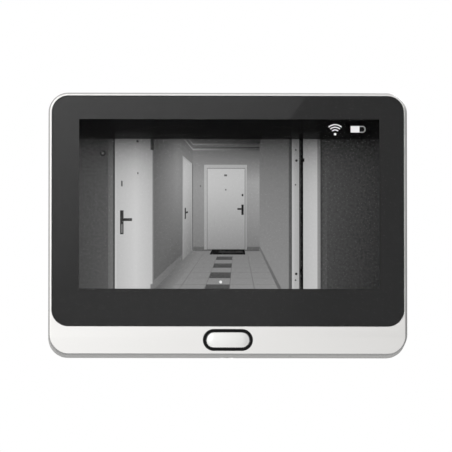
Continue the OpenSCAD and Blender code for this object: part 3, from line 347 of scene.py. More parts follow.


# The frame's colour darkens where it is seen at a slant: painted shade on its slanted outer edges, partly a
# flake paint's flop.
satin_white = finish("satin_white", srgb(232, 231, 229), 0.45, grains=4000, shade=0.03, relief=0.002,
                     flop_and_edge_shade=0.35, Specular_IOR_Level=0.3)
glass_centre, button_centre = (0.0, glass_z), (0.0, button_z)
outside = [level(outline(body_w, body_h, body_r), y_split)]
for inset, depth in frame_cut:
    middle = (0.0, -inset * (1 - low_cut) / 2)
    cut = outline(body_w - 2 * inset, body_h - (1 + low_cut) * inset, body_r - inset, middle)
    outside.append(level(cut, y_front + depth))
recess = eased(glass_w + 2 * glass_gap, glass_h + 2 * glass_gap, glass_r + glass_gap,
               y_ledge_front, y_front, recess_edge, glass_centre, hole=True)
hole_w, hole_h = ring_w + 2 * ring_gap, ring_h + 2 * ring_gap
button_hole = eased(hole_w, hole_h, hole_h / 2, y_ledge_back, y_front, hole_edge, button_centre, hole=True)
window = outline(window_w, window_h, window_r, glass_centre, steps=2)
inside = outline(body_w - 2 * frame_wall, body_h - 2 * frame_wall, body_r - frame_wall)
piece("front_frame", [
    band(*outside),
    flat(outside[-1], recess[-1], button_hole[-1]),
    band(*recess),
    flat(recess[0], level(window, y_ledge_front)),
    band(level(window, y_ledge_front), level(window, y_ledge_back)),
    band(*button_hole),
    flat(level(inside, y_ledge_back), level(window, y_ledge_back), button_hole[0]),
    band(level(inside, y_ledge_back), level(inside, y_split)),
    flat(outside[0], level(inside, y_split)),
], satin_white, "monitor", ["front_frame"])

# Cover glass and its black border
# A toughened sheet with a low-reflection coating and a ground edge, taped onto the frame's ledge.
# The border is a gloss ink printed on its back, open over the lit part of the screen.
y_glass_front, y_glass_back = -21.3, -20.2
screen_w, screen_h = 95.04, 53.86
screen_centre = (0.42, glass_z + 2.3)
glass_edge = 0.2
ink_gap, ink_t, ink_margin = 0.01, 0.04, 0.05
opening_r = 0.02

coated_glass = finish("coated_glass", (0.975, 0.975, 0.975, 1), 0.03, grains=60, shade=0.02, rough=0.02,
                      IOR=1.04, Transmission_Weight=1.0)
pane = eased(glass_w, glass_h, glass_r, y_glass_back, y_glass_front, glass_edge, glass_centre)
piece("cover_glass", [
    flat(pane[0]),
    band(*pane),
    flat(pane[-1]),
], coated_glass, "monitor", ["cover_glass"])

gloss_ink = finish("gloss_ink", (0.004, 0.004, 0.004, 1), 0.012, grains=300, shade=0.1, rough=0.004,
                   Specular_IOR_Level=0.265)
border = outline(glass_w - 2 * ink_margin, glass_h - 2 * ink_margin, glass_r - ink_margin, glass_centre)
opening = outline(screen_w, screen_h, opening_r, screen_centre, steps=1)
y_ink_back = y_glass_back - ink_gap
piece("glass_border", [
    flat(level(border, y_ink_back - ink_t), level(opening, y_ink_back - ink_t)),
    flat(level(border, y_ink_back), level(opening, y_ink_back)),
    band(level(border, y_ink_back - ink_t), level(border, y_ink_back)),
    band(level(opening, y_ink_back - ink_t), level(opening, y_ink_back)),
], gloss_ink, "monitor")

# Screen picture
# The lit liquid crystal cell shows a grey night view down a corridor under a black status bar.
# The view is drawn in perspective: distances are in metres in the corridor, tones as the screen shows them.
eye = 1.45
focal = 51.0
vanish = (50.2, 26.6)
far = 5.0
wall_left, wall_right, ceiling = -1.388, 0.677, 3.3
door_top, end_door_top, moulding_h, moulding_shade = 2.65, 2.58, 0.05, 0.46
bar_h, bar_dim, speckle_share = 6.3, 0.16, 0.06
fade_depth, fade_from, fade_reach, fade_least = 0.43, 8.2, 6.0, 0.16
darkest_tone = 9.0
lamp_h, lamp_depth, floor_near, joint = 2.1, 3.69, 2.4, 0.016
wireless, bow_t = (81.05, 4.66), 0.31
y_picture, layer_step = -20.02, 0.01
surface, trim, rim, rebate, leaf, near, fitting, mark = range(8)
symbol, hollow_part = 9, 10
patches = []


def seen(x, depth, height):
    """Where a corridor point shows on the screen, in millimetres right of and below its top left corner."""
    return vanish[0] + focal * x / depth, vanish[1] + focal * (eye - height) / depth


def patch(corners, tones, layer, lit=True, steps=16):
    """A four-cornered patch, its corners top left, top right, bottom right and bottom left: points and tones
    are mixed evenly between them. Where it is lit, the tones fade towards the top of the screen."""
    across, down = np.meshgrid(np.linspace(0, 1, steps + 1), np.linspace(0, 1, steps + 1))
    share = np.stack([(1 - across) * (1 - down), across * (1 - down), across * down, (1 - across) * down],
                     axis=-1)
    spot = share @ np.array(corners, float)
    tone = share @ (np.array(tones, float) * np.ones(4))
    add_patch(spot, tone, layer, lit)


def add_patch(spot, tone, layer, lit):
    """Keeps a grid of screen points and tones for the picture's mesh."""
    spot = np.clip(spot, 0, (screen_w, screen_h))
    fall = fade_depth * np.exp(-(spot[..., 1] - fade_from) / fade_reach)
    fade = np.maximum(1 - fall, fade_least) if lit else 1.0
    patches.append((spot, np.maximum(tone * fade, darkest_tone), layer, float(lit)))


def upright(u0, u1, tones, layer, v0=0.0, v1=screen_h, lit=True):
    """A patch with level and upright sides, from u0 to u1 across and v0 to v1 down, with one tone, one for
    each side, or one for each corner."""
    if np.size(tones) == 2:
        tones = (*tones, *tones[::-1])
    patch([(u0, v0), (u1, v0), (u1, v1), (u0, v1)], tones, layer, lit)


def arc_patch(centre, inner, outer, start, end, tone, layer, steps=24):
    """A part of a ring between two radii and two angles, which count from straight up."""
    angle, radius = np.meshgrid(np.radians(np.linspace(start, end, steps + 1)), (inner, outer))
    spot = np.stack([centre[0] + radius * np.sin(angle), centre[1] - radius * np.cos(angle)], axis=-1)
    add_patch(spot, np.full(radius.shape, float(tone)), layer, False)


def dot(centre, radius, tone, layer):
    """A round spot."""
    arc_patch(centre, 0, radius, 0, 360, tone, layer)


def end_wall(x0, x1, low, high, tones, layer):
    """A patch on the wall at the far end."""
    patch([seen(x0, far, high), seen(x1, far, high), seen(x1, far, low), seen(x0, far, low)], tones, layer)


def side_wall(x, depth0, depth1, low, high, tones, layer):
    """A patch on a side wall, from depth0 on its left to depth1 on its right."""
    corners = [seen(x, depth0, high), seen(x, depth1, high), seen(x, depth1, low), seen(x, depth0, low)]
    patch(corners, tones, layer)


def floor_patch(x0, x1, depth0, depth1, tones, layer):
    """A patch on the floor between two distances."""
    patch([seen(x0, depth1, 0), seen(x1, depth1, 0), seen(x1, depth0, 0), seen(x0, depth0, 0)], tones, layer)


# the corridor's surfaces, brightest at a lamp's height on the end wall and beside it on the left wall
end_wall(wall_left, wall_right, lamp_h, ceiling, (160, 112, 168, 158), surface)
end_wall(wall_left, wall_right, 0, lamp_h, (158, 168, 122, 120), surface)
patch([seen(wall_left, 2.0, ceiling), seen(wall_right, 2.0, ceiling),
       seen(wall_right, far, ceiling), seen(wall_left, far, ceiling)], (160, 95, 78, 150), surface)
side_wall(wall_left, 2.67, lamp_depth, 0, ceiling, (122, 190, 88, 100), surface)
side_wall(wall_left, lamp_depth, far, 0, ceiling, (190, 158, 104, 88), surface)
side_wall(wall_right, far, 2.04, 0, ceiling, (130, 116, 140, 134), surface)
floor_patch(wall_left, wall_right, floor_near, far, (126, 126, 146, 140), surface)
floor_patch(wall_left, wall_left + 0.3, floor_near, far, (118, 126, 134, 92), trim)
# mouldings under the ceiling and skirtings above the floor
for drop, tone in ((0.0, 205), (0.10, 150), (0.16, 212)):
    top, shaded = ceiling - drop, tone * moulding_shade
    end_wall(wall_left, wall_right, top - moulding_h, top, (tone, shaded, shaded, tone), trim)
    side_wall(wall_left, 3.2, far, top - moulding_h, top, tone, trim)
end_wall(wall_left, wall_right, -0.05, 0.09, (106, 100, 86, 90), trim)
side_wall(wall_left, 2.6, far, 0, 0.16, (120, 106, 106, 118), trim)
side_wall(wall_right, far, 2.5, 0, 0.12, (112, 100, 100, 112), trim)
# tile joints, dark tiles, the door mat with its middle, and a glint
for x in (-0.98, -0.56, -0.14, 0.28):
    floor_patch(x - joint / 2, x + joint / 2, floor_near, far, 116, trim)
for depth in np.arange(2.86, 4.9, 0.248):
    floor_patch(wall_left, wall_right, depth - 0.012, depth, 120, trim)
for depth in np.arange(2.602, 4.2, 0.4967):
    floor_patch(-0.555, -0.14, depth, depth + 0.255, (82, 84, 76, 74), rim)
floor_patch(-0.79, 0.215, 4.515, far, 20, rim)
floor_patch(-0.56, 0.16, 4.64, 4.86, 48, rebate)
dot((44.8, 51.7), 0.45, 235, rebate)
# the door at the end, with its frame, name plate, spyhole, lock and lever, and a switch beside it
end_wall(-1.04, 0.285, 0, end_door_top + 0.06, (204, 194, 140, 148), rim)
end_wall(-0.955, 0.235, 0, end_door_top - 0.04, (158, 148, 112, 118), rebate)
end_wall(-0.935, 0.215, 0.02, end_door_top - 0.065, (220, 212, 140, 144), leaf)
end_wall(-0.42, -0.33, 2.28, 2.34, 110, near)
end_wall(-0.39, -0.35, 1.84, 1.88, 90, near)
end_wall(0.125, 0.175, 1.66, 1.73, 40, near)
end_wall(0.115, 0.185, 1.08, 1.4, 34, near)
end_wall(-0.01, 0.15, 1.235, 1.29, 44, fitting)
end_wall(-1.17, -1.14, 1.95, 2.0, 100, rim)
# the narrow door on the left wall, with its frame, lever and the shade in the corner
side_wall(wall_left, 4.06, 4.96, 0, door_top, (205, 200, 135, 142), rim)
side_wall(wall_left, 4.12, 4.84, 0, door_top - 0.05, (224, 206, 122, 132), rebate)
side_wall(wall_left, 4.22, 4.32, 1.02, 1.32, 66, leaf)
side_wall(wall_left, 4.28, 4.5, 1.165, 1.215, 70, near)
side_wall(wall_left, 4.92, 5.0, 0, door_top, 96, leaf)
# near at the left, a dark wall, its jamb, and a pale door with lever, locks, hinges and spyhole
for u0, u1, tones in ((0, 9.2, (73, 86)), (9.2, 10.75, (101, 112)), (10.75, 11.4, (68, 96)),
                      (11.4, 12.0, (204, 194)), (12.0, 18.0, (194, 210, 204, 188)),
                      (18.0, 23.2, (210, 186, 190, 204)), (23.2, 23.7, (150, 110))):
    upright(u0, u1, tones, near)
upright(13.0, 14.1, (48, 70), fitting, 29.0, 36.6)
upright(13.3, 13.8, (120, 130), mark, 33.4, 36.2)
upright(13.6, 16.8, (50, 74), mark, 31.5, 32.4)
upright(13.3, 13.8, (95, 110), fitting, 19.6, 21.4)
upright(18.4, 18.8, 105, fitting, 16.9, 17.5)
upright(22.6, 23.6, (85, 75), fitting, 6.1, 9.8)
upright(22.6, 23.6, (126, 118), fitting, 52.4)
dot((7.5, 10.85), 0.95, 32, fitting)
dot((7.5, 10.85), 0.45, 84, mark)
dot((18.5, 7.0), 0.42, 48, fitting)
# near at the right, the jamb of an open door with its dark gap, hinges and screws, and a dark wall
for u0, u1, tones in ((66.35, 67.35, (96, 74)), (67.35, 68.2, (192, 182)), (68.2, 69.65, (178, 172)),
                      (69.65, 70.3, (62, 46)), (70.3, 70.92, 8), (70.92, 75.4, (188, 196)),
                      (75.4, 76.4, (150, 132)), (76.4, 77.0, (62, 66)), (77.0, 78.4, (74, 80)),
                      (78.4, screen_w, (80, 55, 46, 68))):
    upright(u0, u1, tones, near)
upright(70.2, 71.3, (16, 14), fitting, 12.4, 13.5)
upright(69.7, 70.4, (22, 12), fitting, 47.6, 49.4)
for u, v, radius in ((68.6, 9.7, 0.25), (68.8, 13.1, 0.4), (68.5, 20.8, 0.22), (68.7, 49.1, 0.4),
                     (68.5, 51.1, 0.25)):
    dot((u, v), radius, 45, fitting)
# the wireless symbol, three bows over a spot, and the battery symbol, its right half hollow
for radius in (1.36, 2.2, 3.02):
    arc_patch(wireless, radius - bow_t / 2, radius + bow_t / 2, -43, 43, 250, symbol)
dot(wireless, 0.4, 250, symbol)
upright(85.97, 88.74, (236, 240), symbol, 2.07, 4.13, lit=False)
upright(88.74, 90.1, (180, 170), symbol, 2.07, 4.13, lit=False)
patch([(90.1, 2.07), (90.64, 2.7), (90.64, 3.5), (90.1, 4.13)], 170, symbol, lit=False)
upright(88.79, 90.0, 6, hollow_part, 2.31, 3.89, lit=False)
patch([(90.0, 2.31), (90.38, 2.75), (90.38, 3.45), (90.0, 3.89)], 6, hollow_part, lit=False)


def grid_faces(rows, columns):
    """Quads between the neighbours in a grid of points, row by row, open at its sides."""
    index = np.arange(rows * columns).reshape(rows, columns)
    corners = [index[:-1, :-1], index[1:, :-1], index[1:, 1:], index[:-1, 1:]]
    return np.stack(corners, axis=-1).reshape(-1, 4)


points, faces, shown, dimmed, count = [], [], [], [], 0
for spot, tone, layer, lit in patches:
    x = screen_centre[0] - screen_w / 2 + spot[..., 0]
    z = screen_centre[1] + screen_h / 2 - spot[..., 1]
    y = np.full(x.shape, y_picture - layer_step * layer)
    points.append(np.stack([x, y, z], axis=-1).reshape(-1, 3))
    faces.append(count + grid_faces(*x.shape))
    shown.append(tone.ravel())
    dimmed.append(np.full(x.size, lit))
    count += x.size
picture = bpy.data.meshes.new("screen_picture")
picture.from_pydata(np.concatenate(points) * MM, [], np.concatenate(faces).tolist())
tones = np.clip(np.concatenate(shown), 0, 255) / 255
linear = np.where(tones <= 0.04045, tones / 12.92, ((tones + 0.055) / 1.055) ** 2.4)
picture.color_attributes.new("tone", "FLOAT_COLOR", "POINT")
colours = np.column_stack([linear, linear, linear, np.concatenate(dimmed)])
picture.color_attributes["tone"].data.foreach_set("color", colours.ravel().astype(np.float32))

lit_screen = bpy.data.materials.new("lit_screen")
lit_screen.use_nodes = True
screen_tree = lit_screen.node_tree
nodes, link = screen_tree.nodes, screen_tree.links.new
shader = nodes["Principled BSDF"]
shader.inputs["Base Color"].default_value = (0.002, 0.002, 0.002, 1)
shader.inputs["Roughness"].default_value = 0.6
shader.inputs["Specular IOR Level"].default_value = 0.0
shader.inputs["Emission Strength"].default_value = 1.0
tone_node = nodes.new("ShaderNodeVertexColor")
tone_node.layer_name = "tone"
place = nodes.new("ShaderNodeTexCoord").outputs["Object"]
speckle = nodes.new("ShaderNodeTexNoise")
speckle.inputs["Scale"].default_value = 1500
noisy = nodes.new("ShaderNodeVectorMath")
height = nodes.new("ShaderNodeSeparateXYZ")
link(place, speckle.inputs["Vector"])
link(place, height.inputs[0])
link(tone_node.outputs["Color"], noisy.inputs[0])
grey = sum_of(screen_tree, "MULTIPLY_ADD", speckle.outputs[0], speckle_share, -speckle_share / 2)
link(grey, noisy.inputs[1])
bar_bottom = (screen_centre[1] + screen_h / 2 - bar_h) * MM
in_bar = sum_of(screen_tree, "GREATER_THAN", height.outputs["Z"], bar_bottom)
dims = sum_of(screen_tree, "MULTIPLY", in_bar, tone_node.outputs["Alpha"])
light_left = span(screen_tree, dims, 0, 1, at_start=1, at_end=bar_dim)
link(scaled(screen_tree, noisy.outputs[0], light_left), shader.inputs["Emission Color"])
placed("screen_picture", picture, lit_screen, "monitor")

# Home button and its ring
# The ring is gloss black plastic pressed into the chin. The key is a silver-plated cap, bowed along its
# length and domed inside its rim, with lips that keep it behind the ring and a post on the switch.
key_w, key_h = 13.7, 4.8
ring_in_w, ring_in_h = 14.0, 5.1
ring_edge, ring_in_edge = 0.15, 0.1
gloss_black = finish("gloss_black", srgb(9, 9, 10), 0.15, grains=900, shade=0.1, rough=0.04,
                     Specular_IOR_Level=0.12)
ring_out = eased(ring_w, ring_h, ring_h / 2, y_ledge_back, y_front, ring_edge, button_centre)
ring_in = eased(ring_in_w, ring_in_h, ring_in_h / 2, y_ledge_back, y_front, ring_in_edge, button_centre,
                hole=True)
piece("home_button_ring", [
    band(*ring_out),
    flat(ring_out[-1], ring_in[-1]),
    band(*ring_in),
    flat(ring_out[0], ring_in[0]),
], gloss_black, "monitor", ["home_button_ring"])

silver_plate = finish("silver_plate", srgb(236, 236, 234), 0.25, grains=5000, shade=0.03, rough=0.05)
y_key_front, y_lip, y_key_back, y_post = -21.3, -18.9, -18.1, -17.5
key_edge, key_rim, key_rise, key_bow = 0.15, 0.5, 0.22, 0.6
lip_w, lip_h = ring_in_w + 1.4, ring_in_h
post_d = 3.0


def key_loop(width, height, y, bow=0.0):
    """A pill outline at the depth y, which falls back by bow towards both ends of the key."""
    pill = outline(width, height, height / 2, button_centre, along=24)
    return level(pill, y + bow * (pill[:, 0] / (key_w / 2)) ** 2)


quarter = np.linspace(0, np.pi / 2, 7)
dome = np.linspace(0, 1, 9)
face_inset = np.concatenate([key_edge * (1 - np.cos(quarter)), key_rim + (key_h / 2 - key_rim) * dome])
fall_back = [key_rise + key_edge * (1 - np.sin(quarter)), key_rise * (1 - dome) ** 2]
face_y = y_key_front + np.concatenate(fall_back)
key_skin = [key_loop(lip_w, lip_h, y_key_back), key_loop(lip_w, lip_h, y_lip), key_loop(key_w, key_h, y_lip)]
key_skin += [key_loop(key_w - 2 * i, key_h - 2 * i, y, key_bow) for i, y in zip(face_inset, face_y)]
post = outline(post_d, post_d, post_d / 2, button_centre)
piece("home_button", [
    band(*key_skin),
    flat(key_skin[0], level(post, y_key_back)),
    band(level(post, y_key_back), level(post, y_post)),
    flat(level(post, y_post)),
], silver_plate, "home_button", ["home_button"], crisp=15)

# Rear cover
# The light grey shell behind the parting line: moulded ABS with a fine matt spark texture.
# It carries the slots for the speaker and sockets, the screw wells, and the recess for the wall plate.
cad_touching = 1e-6


def from_cad(node, material, body, edge=0.0, crisp=35):
    """The CAD piece itself: its loose triangles joined, flat areas merged, and its sharp edges eased by
    edge millimetres."""
    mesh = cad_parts[node].data.copy()
    skin = bmesh.new()
    skin.from_mesh(mesh)
    bmesh.ops.remove_doubles(skin, verts=skin.verts, dist=cad_touching)
    bmesh.ops.dissolve_limit(skin, angle_limit=radians(0.4), verts=skin.verts, edges=skin.edges)
    skin.to_mesh(mesh)
    skin.free()
    made = placed(node + "_finished", mesh, material, body, [node], crisp)
    if edge:
        ease = made.modifiers.new("eased_edges", "BEVEL")
        ease.width = edge * MM
        ease.segments = 2
        ease.limit_method = "ANGLE"
        ease.angle_limit = radians(50)
        ease.use_clamp_overlap = True
        made.modifiers.move(1, 0)
    return made


matt_grey = finish("matt_grey", srgb(198, 197, 195), 0.55, grains=6000, shade=0.08, relief=0.01,
                   Specular_IOR_Level=0.35)
from_cad("rear_cover", matt_grey, "monitor", 0.12)

# Screws
# Zinc-plated steel screws with pan heads and a cross recess: four in the rear cover's wells,
# and the lock screw that comes up through the underside into the plate's tab.
zinc = finish("zinc_plate", srgb(196, 196, 192), 0.28, grains=2500, shade=0.12, rough=0.15, Metallic=1.0)
rear_shank_d, rear_head_d, rear_head_h = 1.9, 3.6, 1.2
lock_shank_d, lock_head_d, lock_head_h = 2.4, 4.4, 1.5
head_round, cross_deep = 0.45, 0.7
tip_share, taper_share = 0.3, 0.4
cross_arm_share, cross_half_share = 0.28, 0.075


def cross(arm, half, middle):
    """The twelve corners of a cross with arms of that reach and half width."""
    turn = np.arange(4) * np.pi / 2
    tip = np.array([[arm, -half], [arm, half], [half, half]])
    across = tip[:, 0] * np.cos(turn)[:, None] - tip[:, 1] * np.sin(turn)[:, None]
    up = tip[:, 0] * np.sin(turn)[:, None] + tip[:, 1] * np.cos(turn)[:, None]
    return np.column_stack([middle[0] + across.ravel(), middle[1] + up.ravel()])


def pan_screw(shank_d, head_d, y_tip, y_seat, y_head, middle):
    """A screw along Y: a shank with a pointed tip, a head with a rounded rim, and a cross cut in its top."""
    out = np.sign(y_head - y_seat)
    rim = eased(head_d, head_d, head_d / 2, y_seat, y_head, head_round, middle)
    turns = ((shank_d * tip_share, y_tip), (shank_d, y_tip + out * shank_d * taper_share), (shank_d, y_seat))
    shank = [level(outline(d, d, d / 2, middle), y) for d, y in turns]
    slot = cross(head_d * cross_arm_share, head_d * cross_half_share, middle)
    y_slot = y_head - out * cross_deep
    return [band(*shank, *rim), flat(shank[0]), flat(rim[-1], level(slot, y_head)),
            band(level(slot, y_head), level(slot, y_slot)), flat(level(slot, y_slot))]


low, high = (np.array(corner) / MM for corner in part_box("rear_screws"))
well_x, well_z = high[0] - rear_head_d / 2, high[2] - rear_head_d / 2
wells = [(side * well_x, end * well_z) for side in (-1, 1) for end in (-1, 1)]
screws = [pan_screw(rear_shank_d, rear_head_d, low[1], high[1] - rear_head_h, high[1], well)
          for well in wells]
piece("rear_screws", [part for screw in screws for part in screw],
      zinc, "monitor", ["rear_screws"])

low, high = (np.array(corner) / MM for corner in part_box("lock_screw"))
lock = pan_screw(lock_shank_d, lock_head_d, high[2], low[2] + lock_head_h, low[2], (0.0, 0.0))
lock_y = (low[1] + high[1]) / 2
turned_up = [(np.column_stack([points[:, 0], lock_y - points[:, 2], points[:, 1]]), faces)
             for points, faces in lock]
piece("lock_screw", turned_up, zinc, "monitor", ["lock_screw"])

# Sockets
# The charging socket is a deep-drawn steel shell around a black tongue, the card socket a stamped tray.
# Both are soldered to the main board and look out of the right wall.
drawn_steel = finish("drawn_steel", srgb(176, 177, 178), 0.3, grains=3000, shade=0.1, rough=0.12,
                     Metallic=1.0)
from_cad("usb_socket", drawn_steel, "monitor", 0.05)
from_cad("card_socket", drawn_steel, "monitor", 0.05)

# Wall plate
# Folded galvanised steel, screwed to the door's inner face. Its side hooks hold the monitor,
# and the tab at the bottom takes the lock screw.
galvanised = finish("galvanised", srgb(158, 161, 164), 0.45, grains=220, shade=0.22, rough=0.2, Metallic=1.0)
from_cad("mounting_plate", galvanised, "monitor", 0.15)

# Clamp nut
# A zinc die-casting: a notched flange that a spanner turns, and a sleeve with the thread inside.
# It draws the outdoor head against the door.
die_cast = finish("die_cast", srgb(168, 164, 154), 0.36, grains=1200, shade=0.15, rough=0.15, relief=0.006,
                  Metallic=1.0)
from_cad("clamp_nut", die_cast, "clamp_nut", 0.15)

# Camera barrel
# A threaded tube of the same die-cast zinc, screwed by its flange to the head's base.
# The thread is one groove wound around it, run out at both ends.
y_barrel, y_thread_end, y_barrel_top = 13.0, 43.0, 50.0
crest_r, root_r, bore_r, flange_r, y_flange = 6.0, 5.5, 4.7, 10.2, 48.5
pitch, lead_in_l, runout_l = 1.0, 1.2, 1.5
flange_edge = 0.2
around = 48


def turned(profile, middle=(0.0, 0.0), steps=64):
    """A turned shape: a profile of radii and depths swung around an axis along Y through the middle."""
    angle = np.linspace(0, 2 * np.pi, steps, endpoint=False)
    radius, y = np.array(profile, float).T[..., None]
    x = middle[0] + radius * np.cos(angle)
    z = middle[1] + radius * np.sin(angle)
    return band(*np.stack([x, y + 0 * angle, z], axis=-1))


# the groove's rows climb one pitch in a turn, so each row runs into the one a pitch further on;
# a crest and a root each start and end at these shares of a turn
flank = np.array([0.0, 0.12, 0.5, 0.62])
flank_sunk = [0.0, 0.0, 1.0, 1.0]
angle = np.linspace(0, 2 * np.pi, around + 1)
turns = np.arange(-1, (y_thread_end - y_barrel) / pitch + 1)
rows = (turns[:, None] + flank).ravel()[:, None]
sunk = np.tile(flank_sunk, len(turns))[:, None]
y_rows = np.clip(y_barrel + pitch * (rows + angle / (2 * np.pi)), y_barrel, y_thread_end)
lead_in = np.clip(1 - (y_rows - y_barrel) / lead_in_l, 0, 1)
runout = np.clip((y_thread_end - y_rows) / runout_l, 0, 1)
radius = crest_r - (crest_r - root_r) * np.maximum(lead_in, sunk * runout)
thread = np.stack([radius * np.cos(angle), y_rows, radius * np.sin(angle)], axis=-1)
smooth_part = turned([
    (crest_r, y_thread_end), (crest_r, y_flange), (flange_r - flange_edge, y_flange),
    (flange_r, y_flange + flange_edge), (flange_r, y_barrel_top - flange_edge),
    (flange_r - flange_edge, y_barrel_top), (bore_r, y_barrel_top), (bore_r, y_barrel), (root_r, y_barrel),
], steps=around)
piece("camera_barrel", [
    (thread.reshape(-1, 3), grid_faces(*thread.shape[:2])),
    smooth_part,
], die_cast, "camera_head", ["camera_barrel"], crisp=25)

# Door gasket, head base and seal
# A die-cut ring of closed-cell foam lies against the door; behind it the moulded base closes the head,
# with a rubber ring between base and shell.
foam = finish("foam", srgb(38, 38, 39), 0.9, grains=9000, shade=0.5, rough=0.05, relief=0.06,
              Specular_IOR_Level=0.2)
rubber = finish("rubber", srgb(30, 30, 31), 0.7, grains=3000, shade=0.2)
from_cad("door_gasket", foam, "camera_head", 0.15)

# Head shell
# The round outdoor housing: die-cast zinc with a satin silver lacquer, a soft front edge and a fine
# turned line around its side.
y_base, y_head_front, head_r = 46.5, 63.0, 31.0
y_panel_back, panel_recess_r, panel_ledge_r, ledge_t = 60.8, 28.0, 25.0, 1.2
shell_in_r, base_seat_r, y_seal = 27.2, 28.8, 49.3
foot_edge, head_edge, recess_round = 0.4, 1.4, 0.25
y_line, line_half, line_deep = 50.8, 0.2, 0.25
lacquer = finish("silver_lacquer", srgb(194, 195, 197), 0.36, grains=5000, shade=0.08, rough=0.08,
                 Metallic=0.75)
turn = np.linspace(0, np.pi / 2, 9)
shoulder = np.column_stack([head_r - head_edge * (1 - np.cos(turn)),
                            y_head_front - head_edge * (1 - np.sin(turn))])
lip_turn = np.linspace(0, np.pi / 2, 5)
inner_edge = np.column_stack([panel_recess_r + recess_round * (1 - np.sin(lip_turn)),
                              y_head_front - recess_round * (1 - np.cos(lip_turn))])
shell = [
    (base_seat_r, y_base), (head_r - foot_edge, y_base), (head_r, y_base + foot_edge),
    (head_r, y_line - line_half), (head_r - line_deep, y_line), (head_r, y_line + line_half),
    *shoulder, *inner_edge, (panel_recess_r, y_panel_back), (panel_ledge_r, y_panel_back),
    (panel_ledge_r, y_panel_back - ledge_t), (shell_in_r, y_panel_back - ledge_t),
    (shell_in_r, y_seal), (base_seat_r, y_seal), (base_seat_r, y_base),
]
piece("head_shell", [turned(shell, steps=96)],
      lacquer, "camera_head", ["head_shell"], crisp=30)

# Face panel
# A gloss black acrylic disc set into the shell, drilled for the lens, the two infrared lamps, the motion
# sensor's dome, the bell and the sound holes.
panel_r, y_panel_front = 27.9, 62.8
lens_z, pir_z, bell_z, lamp_x, lamp_z = 15.5, 2.8, -14.0, 14.0, 13.0
lens_hole_d, pir_hole_d, bell_hole_d, lamp_hole_d = 13.8, 9.8, 20.6, 5.4
sound_x, sound_z, sound_pitch, sound_hole_d = 17.5, -2.0, 2.4, 1.2
panel_edge, drill_edge = 0.2, 0.12
acrylic = finish("acrylic", srgb(14, 14, 15), 0.08, grains=700, shade=0.2, rough=0.04)
spokes = np.arange(6) * np.pi / 3
sound = [(sound_x, sound_z), *zip(sound_x + sound_pitch * np.cos(spokes),
                                  sound_z + sound_pitch * np.sin(spokes))]
drilled = [
    (lens_hole_d, (0.0, lens_z)), (pir_hole_d, (0.0, pir_z)), (bell_hole_d, (0.0, bell_z)),
    (lamp_hole_d, (-lamp_x, lamp_z)), (lamp_hole_d, (lamp_x, lamp_z)), (sound_hole_d, (-sound_x, sound_z)),
    *[(sound_hole_d, spot) for spot in sound],
]
disc = eased(2 * panel_r, 2 * panel_r, panel_r, y_panel_back, y_panel_front, panel_edge)
holes = [eased(d, d, d / 2, y_panel_back, y_panel_front, drill_edge, middle, hole=True)
         for d, middle in drilled]
piece("face_panel", [
    band(*disc),
    flat(disc[-1], *[hole[-1] for hole in holes]),
    flat(disc[0], *[hole[0] for hole in holes]),
    *[band(*hole) for hole in holes],
], acrylic, "camera_head", ["face_panel"])

# Lens
# A black anodised barrel with stepped baffles, and a domed front element with a blue coating.
y_lens_back, y_lens_head, y_lens_tip = 56.0, 60.6, 64.0
lens_bore_r, lens_body_r, lens_head_r = 3.5, 6.0, 6.7
tip_edge, mouth_r, mouth_deep = 0.35, 5.9, 0.6
baffle_r = (5.15, 4.7, 4.3, 3.9, lens_bore_r)
baffle_y = (62.4, 61.8, 61.1, 60.3)
anodised = finish("anodised", srgb(20, 20, 21), 0.35, grains=2500, shade=0.2, Metallic=0.6)
baffles = [(r, y) for outer, inner, y in zip(baffle_r, baffle_r[1:], baffle_y) for r in (outer, inner)]
barrel = [
    (lens_bore_r, y_lens_back), (lens_body_r, y_lens_back), (lens_body_r, y_lens_head),
    (lens_head_r, y_lens_head), (lens_head_r, y_lens_tip - tip_edge), (lens_head_r - tip_edge, y_lens_tip),
    (mouth_r, y_lens_tip), (baffle_r[0], y_lens_tip - mouth_deep), *baffles, (lens_bore_r, y_lens_back),
]
piece("lens_barrel", [turned(barrel, (0.0, lens_z))],
      anodised, "camera_head", ["lens_barrel"], crisp=25)

lens_r, dome_r, y_rim, y_lens_seat = 5.1, 6.6, 63.0, baffle_y[0]
rise = np.linspace(np.arccos(lens_r / dome_r), np.pi / 2, 15)
y_dome = y_rim - dome_r * np.sin(rise[0])
front_face = np.column_stack([dome_r * np.cos(rise), y_dome + dome_r * np.sin(rise)])
coated_lens = finish("coated_lens", (0.72, 0.8, 0.95, 1), 0.02, grains=80, shade=0.04, rough=0.01,
                     IOR=1.52, Transmission_Weight=1.0, Coat_Weight=0.4, Coat_Tint=(0.7, 0.74, 1.0, 1.0))
piece("lens_front", [turned([(0, y_lens_seat), (lens_r, y_lens_seat), *front_face], (0.0, lens_z))],
      coated_lens, "camera_head", ["lens_front"])

# Infrared lamps
# Two 5 mm lamps cast in dark resin, soldered to the head's board, with domed tips just inside the panel.
resin = finish("dark_resin", srgb(46, 26, 34), 0.1, grains=300, shade=0.1, rough=0.03,
               Transmission_Weight=0.35)
lamp_r, y_lamp_back, y_lamp_dome = 2.5, 52.7, 60.0
rise = np.linspace(0, np.pi / 2, 11)
tip = np.column_stack([lamp_r * np.cos(rise), y_lamp_dome + lamp_r * np.sin(rise)])
lamp = [(0, y_lamp_back), (lamp_r, y_lamp_back), *tip]
piece("ir_leds", [turned(lamp, (side * lamp_x, lamp_z), steps=40) for side in (-1, 1)],
      resin, "camera_head", ["ir_leds"])

